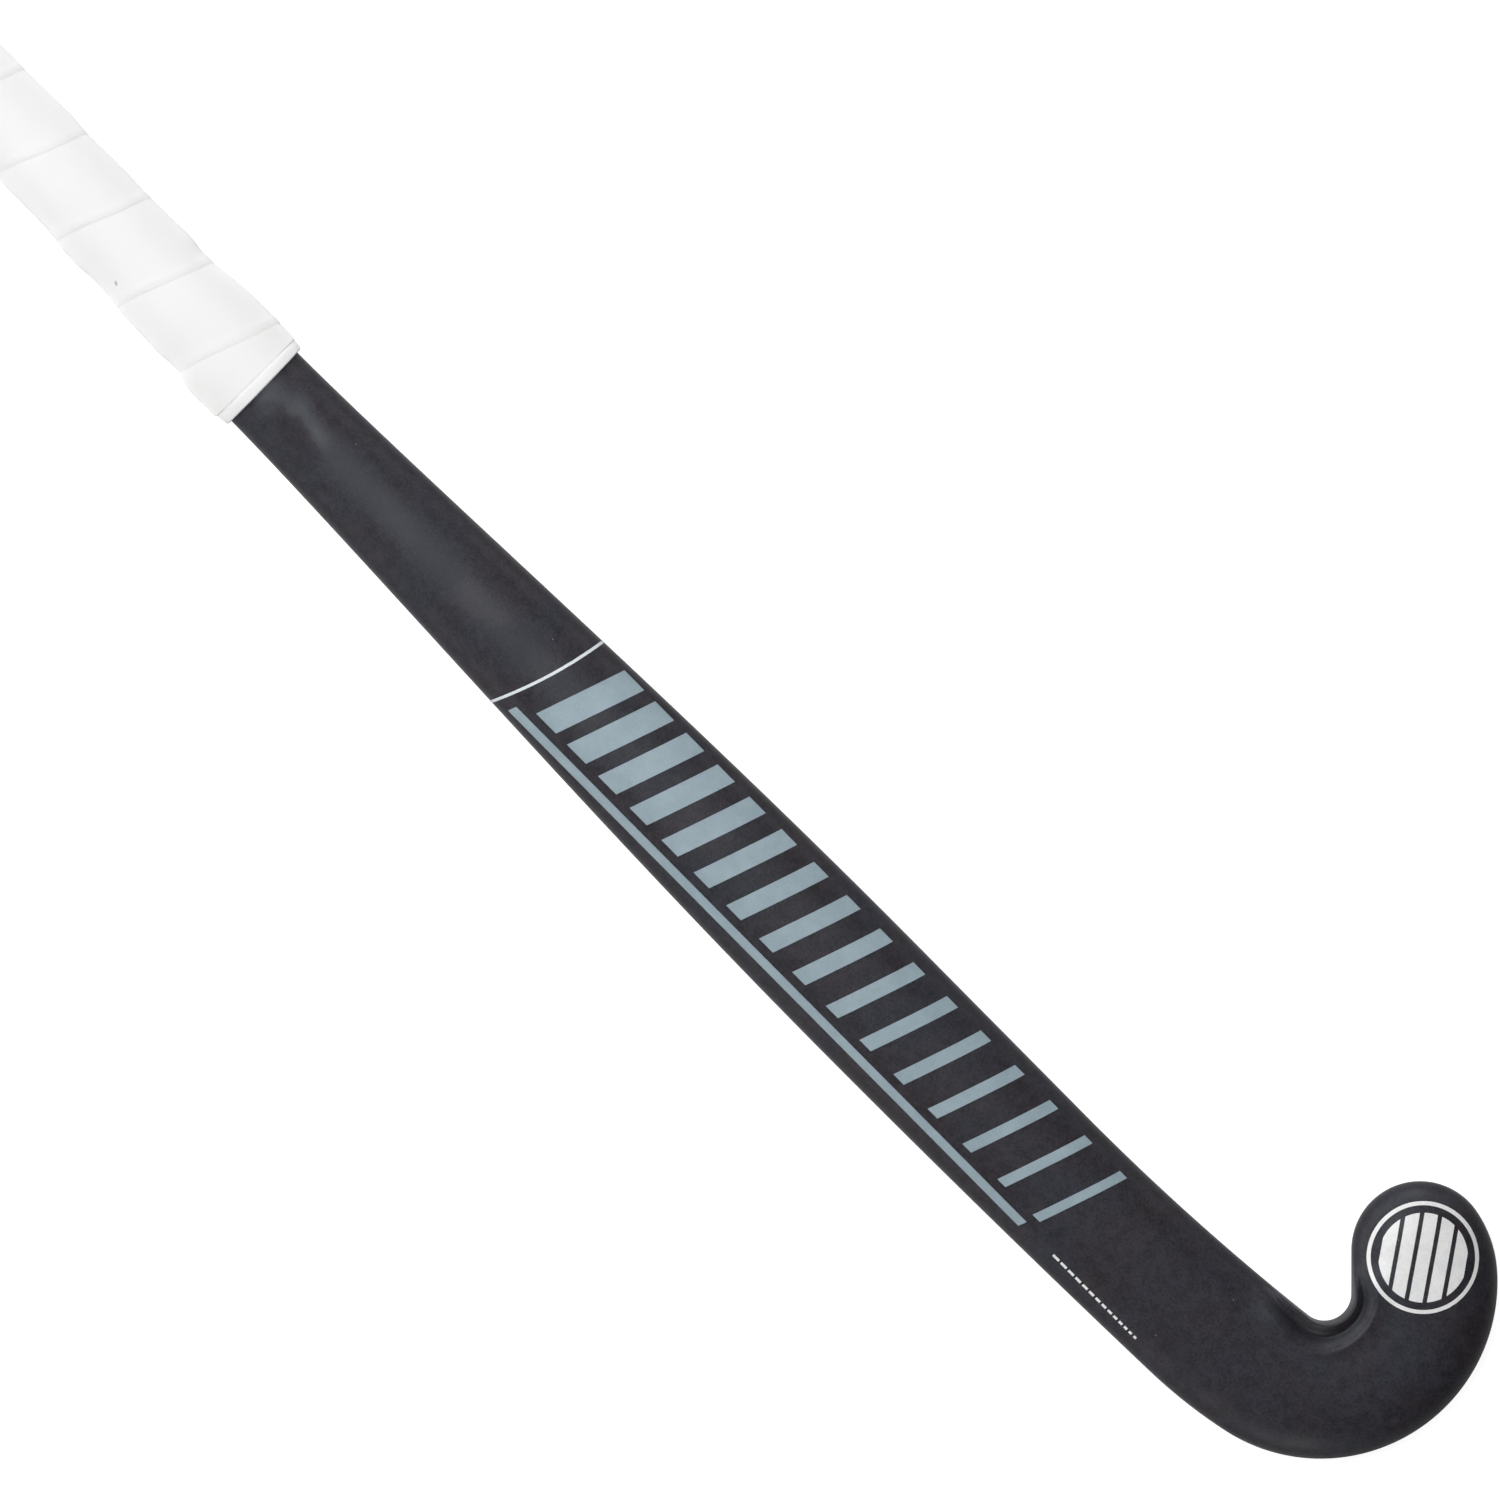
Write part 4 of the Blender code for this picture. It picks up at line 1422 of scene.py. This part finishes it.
studio = {
    "floorSize": 60.0,
    "floorColour": (0.38, 0.38, 0.38, 1.0),
    "floorGlow": 0.90,
    "backdrop": (1.0, 1.0, 1.0, 1.0),
    "fromBelow": 0.70,
    "distance": 2.4,
    # Lean from the camera's axis, way round the picture from its right, side length, power, colour
    "boxes": {
        "frontBox": (11.0, 135.0, 0.50, 24.0, (0.97, 0.99, 1.0)),
        "upperBox": (65.0, 90.0, 0.90, 25.0, (1.0, 1.0, 1.0)),
        "buttBox": (60.0, 135.0, 0.80, 18.0, (1.0, 1.0, 1.0)),
        "leftBox": (65.0, 180.0, 0.90, 16.0, (1.0, 1.0, 0.99)),
        "lowerBox": (65.0, -90.0, 0.90, 12.0, (1.0, 0.99, 0.98)),
        "cornerBox": (65.0, -135.0, 0.90, 8.0, (1.0, 0.99, 0.98)),
        "rightBox": (65.0, 45.0, 0.90, 7.0, (1.0, 1.0, 1.0)),
    },
}

camera = {
    "lens": 400.0,
    "sensor": 36.0,
    "squareTo": 0.50,
    "frameWidth": 0.52736,
    "along": 0.58973,
    "across": 0.03146,
    "turn": 45.3,
}


def makeFloor():
    # Evenly white to the camera, darker in reflections, clear from below so that the face shows
    half = studio["floorSize"] / 2
    mesh = bpy.data.meshes.new("floor")
    corners = ((-half, -half), (half, -half), (half, half), (-half, half))
    mesh.from_pydata([(x, y, 0.0) for x, y in corners], [], [(0, 1, 2, 3)])
    material = bpy.data.materials.new("paleFloor")
    material.use_nodes = True
    tree = material.node_tree
    tree.nodes.clear()
    matt = get(tree, "ShaderNodeBsdfDiffuse", {"Color": studio["floorColour"]})
    seen = get(tree, "ShaderNodeLightPath", None, "Is Camera Ray")
    glow = get(tree, "ShaderNodeEmission", {
        "Color": studio["backdrop"], "Strength": seen * studio["floorGlow"]})
    top = get(tree, "ShaderNodeAddShader", {0: matt, 1: glow})
    clear = get(tree, "ShaderNodeBsdfTransparent")
    back = get(tree, "ShaderNodeNewGeometry", None, "Backfacing")
    both = get(tree, "ShaderNodeMixShader", {0: back, 1: top, 2: clear})
    put(tree, "ShaderNodeOutputMaterial", {"Surface": both})
    mesh.materials.append(material)
    addObject("floor", mesh)


turned = lying.to_3x3()
alongAxis, outAxis = (turned @ axis for axis in axes(camera["squareTo"]))
acrossAxis = turned @ Vector((0.0, 1.0, 0.0))
target = lying @ Vector(place(camera["along"], camera["across"], 0.0))
turnCos, turnSin = cosSin(camera["turn"])
cameraRight = turnCos * alongAxis + turnSin * acrossAxis
cameraUp = -turnSin * alongAxis + turnCos * acrossAxis


def makeCamera():
    data = bpy.data.cameras.new("camera")
    data.lens = camera["lens"]
    data.sensor_width = camera["sensor"]
    obj = addObject("camera", data)
    away = camera["frameWidth"] * camera["lens"] / camera["sensor"]
    turn = Matrix((cameraRight, cameraUp, outAxis)).transposed().to_4x4()
    obj.matrix_world = Matrix.Translation(target + outAxis * away) @ turn
    bpy.context.scene.camera = obj


def makeSoftbox(name, lean, way, size, power, colour):
    data = bpy.data.lights.new(name, "AREA")
    data.size = size
    data.energy = power
    data.color = colour
    obj = addObject(name, data)
    c, d = cosSin(way)
    side = cameraRight * c + cameraUp * d
    c, d = cosSin(lean)
    obj.location = target + (outAxis * c + side * d) * studio["distance"]
    obj.rotation_mode = "QUATERNION"
    obj.rotation_quaternion = (target - obj.location).to_track_quat("-Z", "Y")


def makeWorld():
    # White behind the object; gives light only from below the floor, for views of the face
    world = bpy.data.worlds.new("studio")
    world.use_nodes = True
    tree = world.node_tree
    way = get(tree, "ShaderNodeTexCoord", None, "Generated")
    rise = get(tree, "ShaderNodeSeparateXYZ", {"Vector": way}, 2)
    below = calc("LESS_THAN", rise, 0.0) * studio["fromBelow"]
    seen = get(tree, "ShaderNodeLightPath", None, "Is Camera Ray")
    ground = tree.nodes["Background"].inputs
    wire(tree, studio["backdrop"], ground["Color"])
    wire(tree, calc("MAXIMUM", seen, below), ground["Strength"])
    bpy.context.scene.world = world


makeFloor()
makeCamera()
for name, values in studio["boxes"].items():
    makeSoftbox(name, *values)
makeWorld()
bpy.context.scene.view_settings.view_transform = "Standard"
print("studio ready")
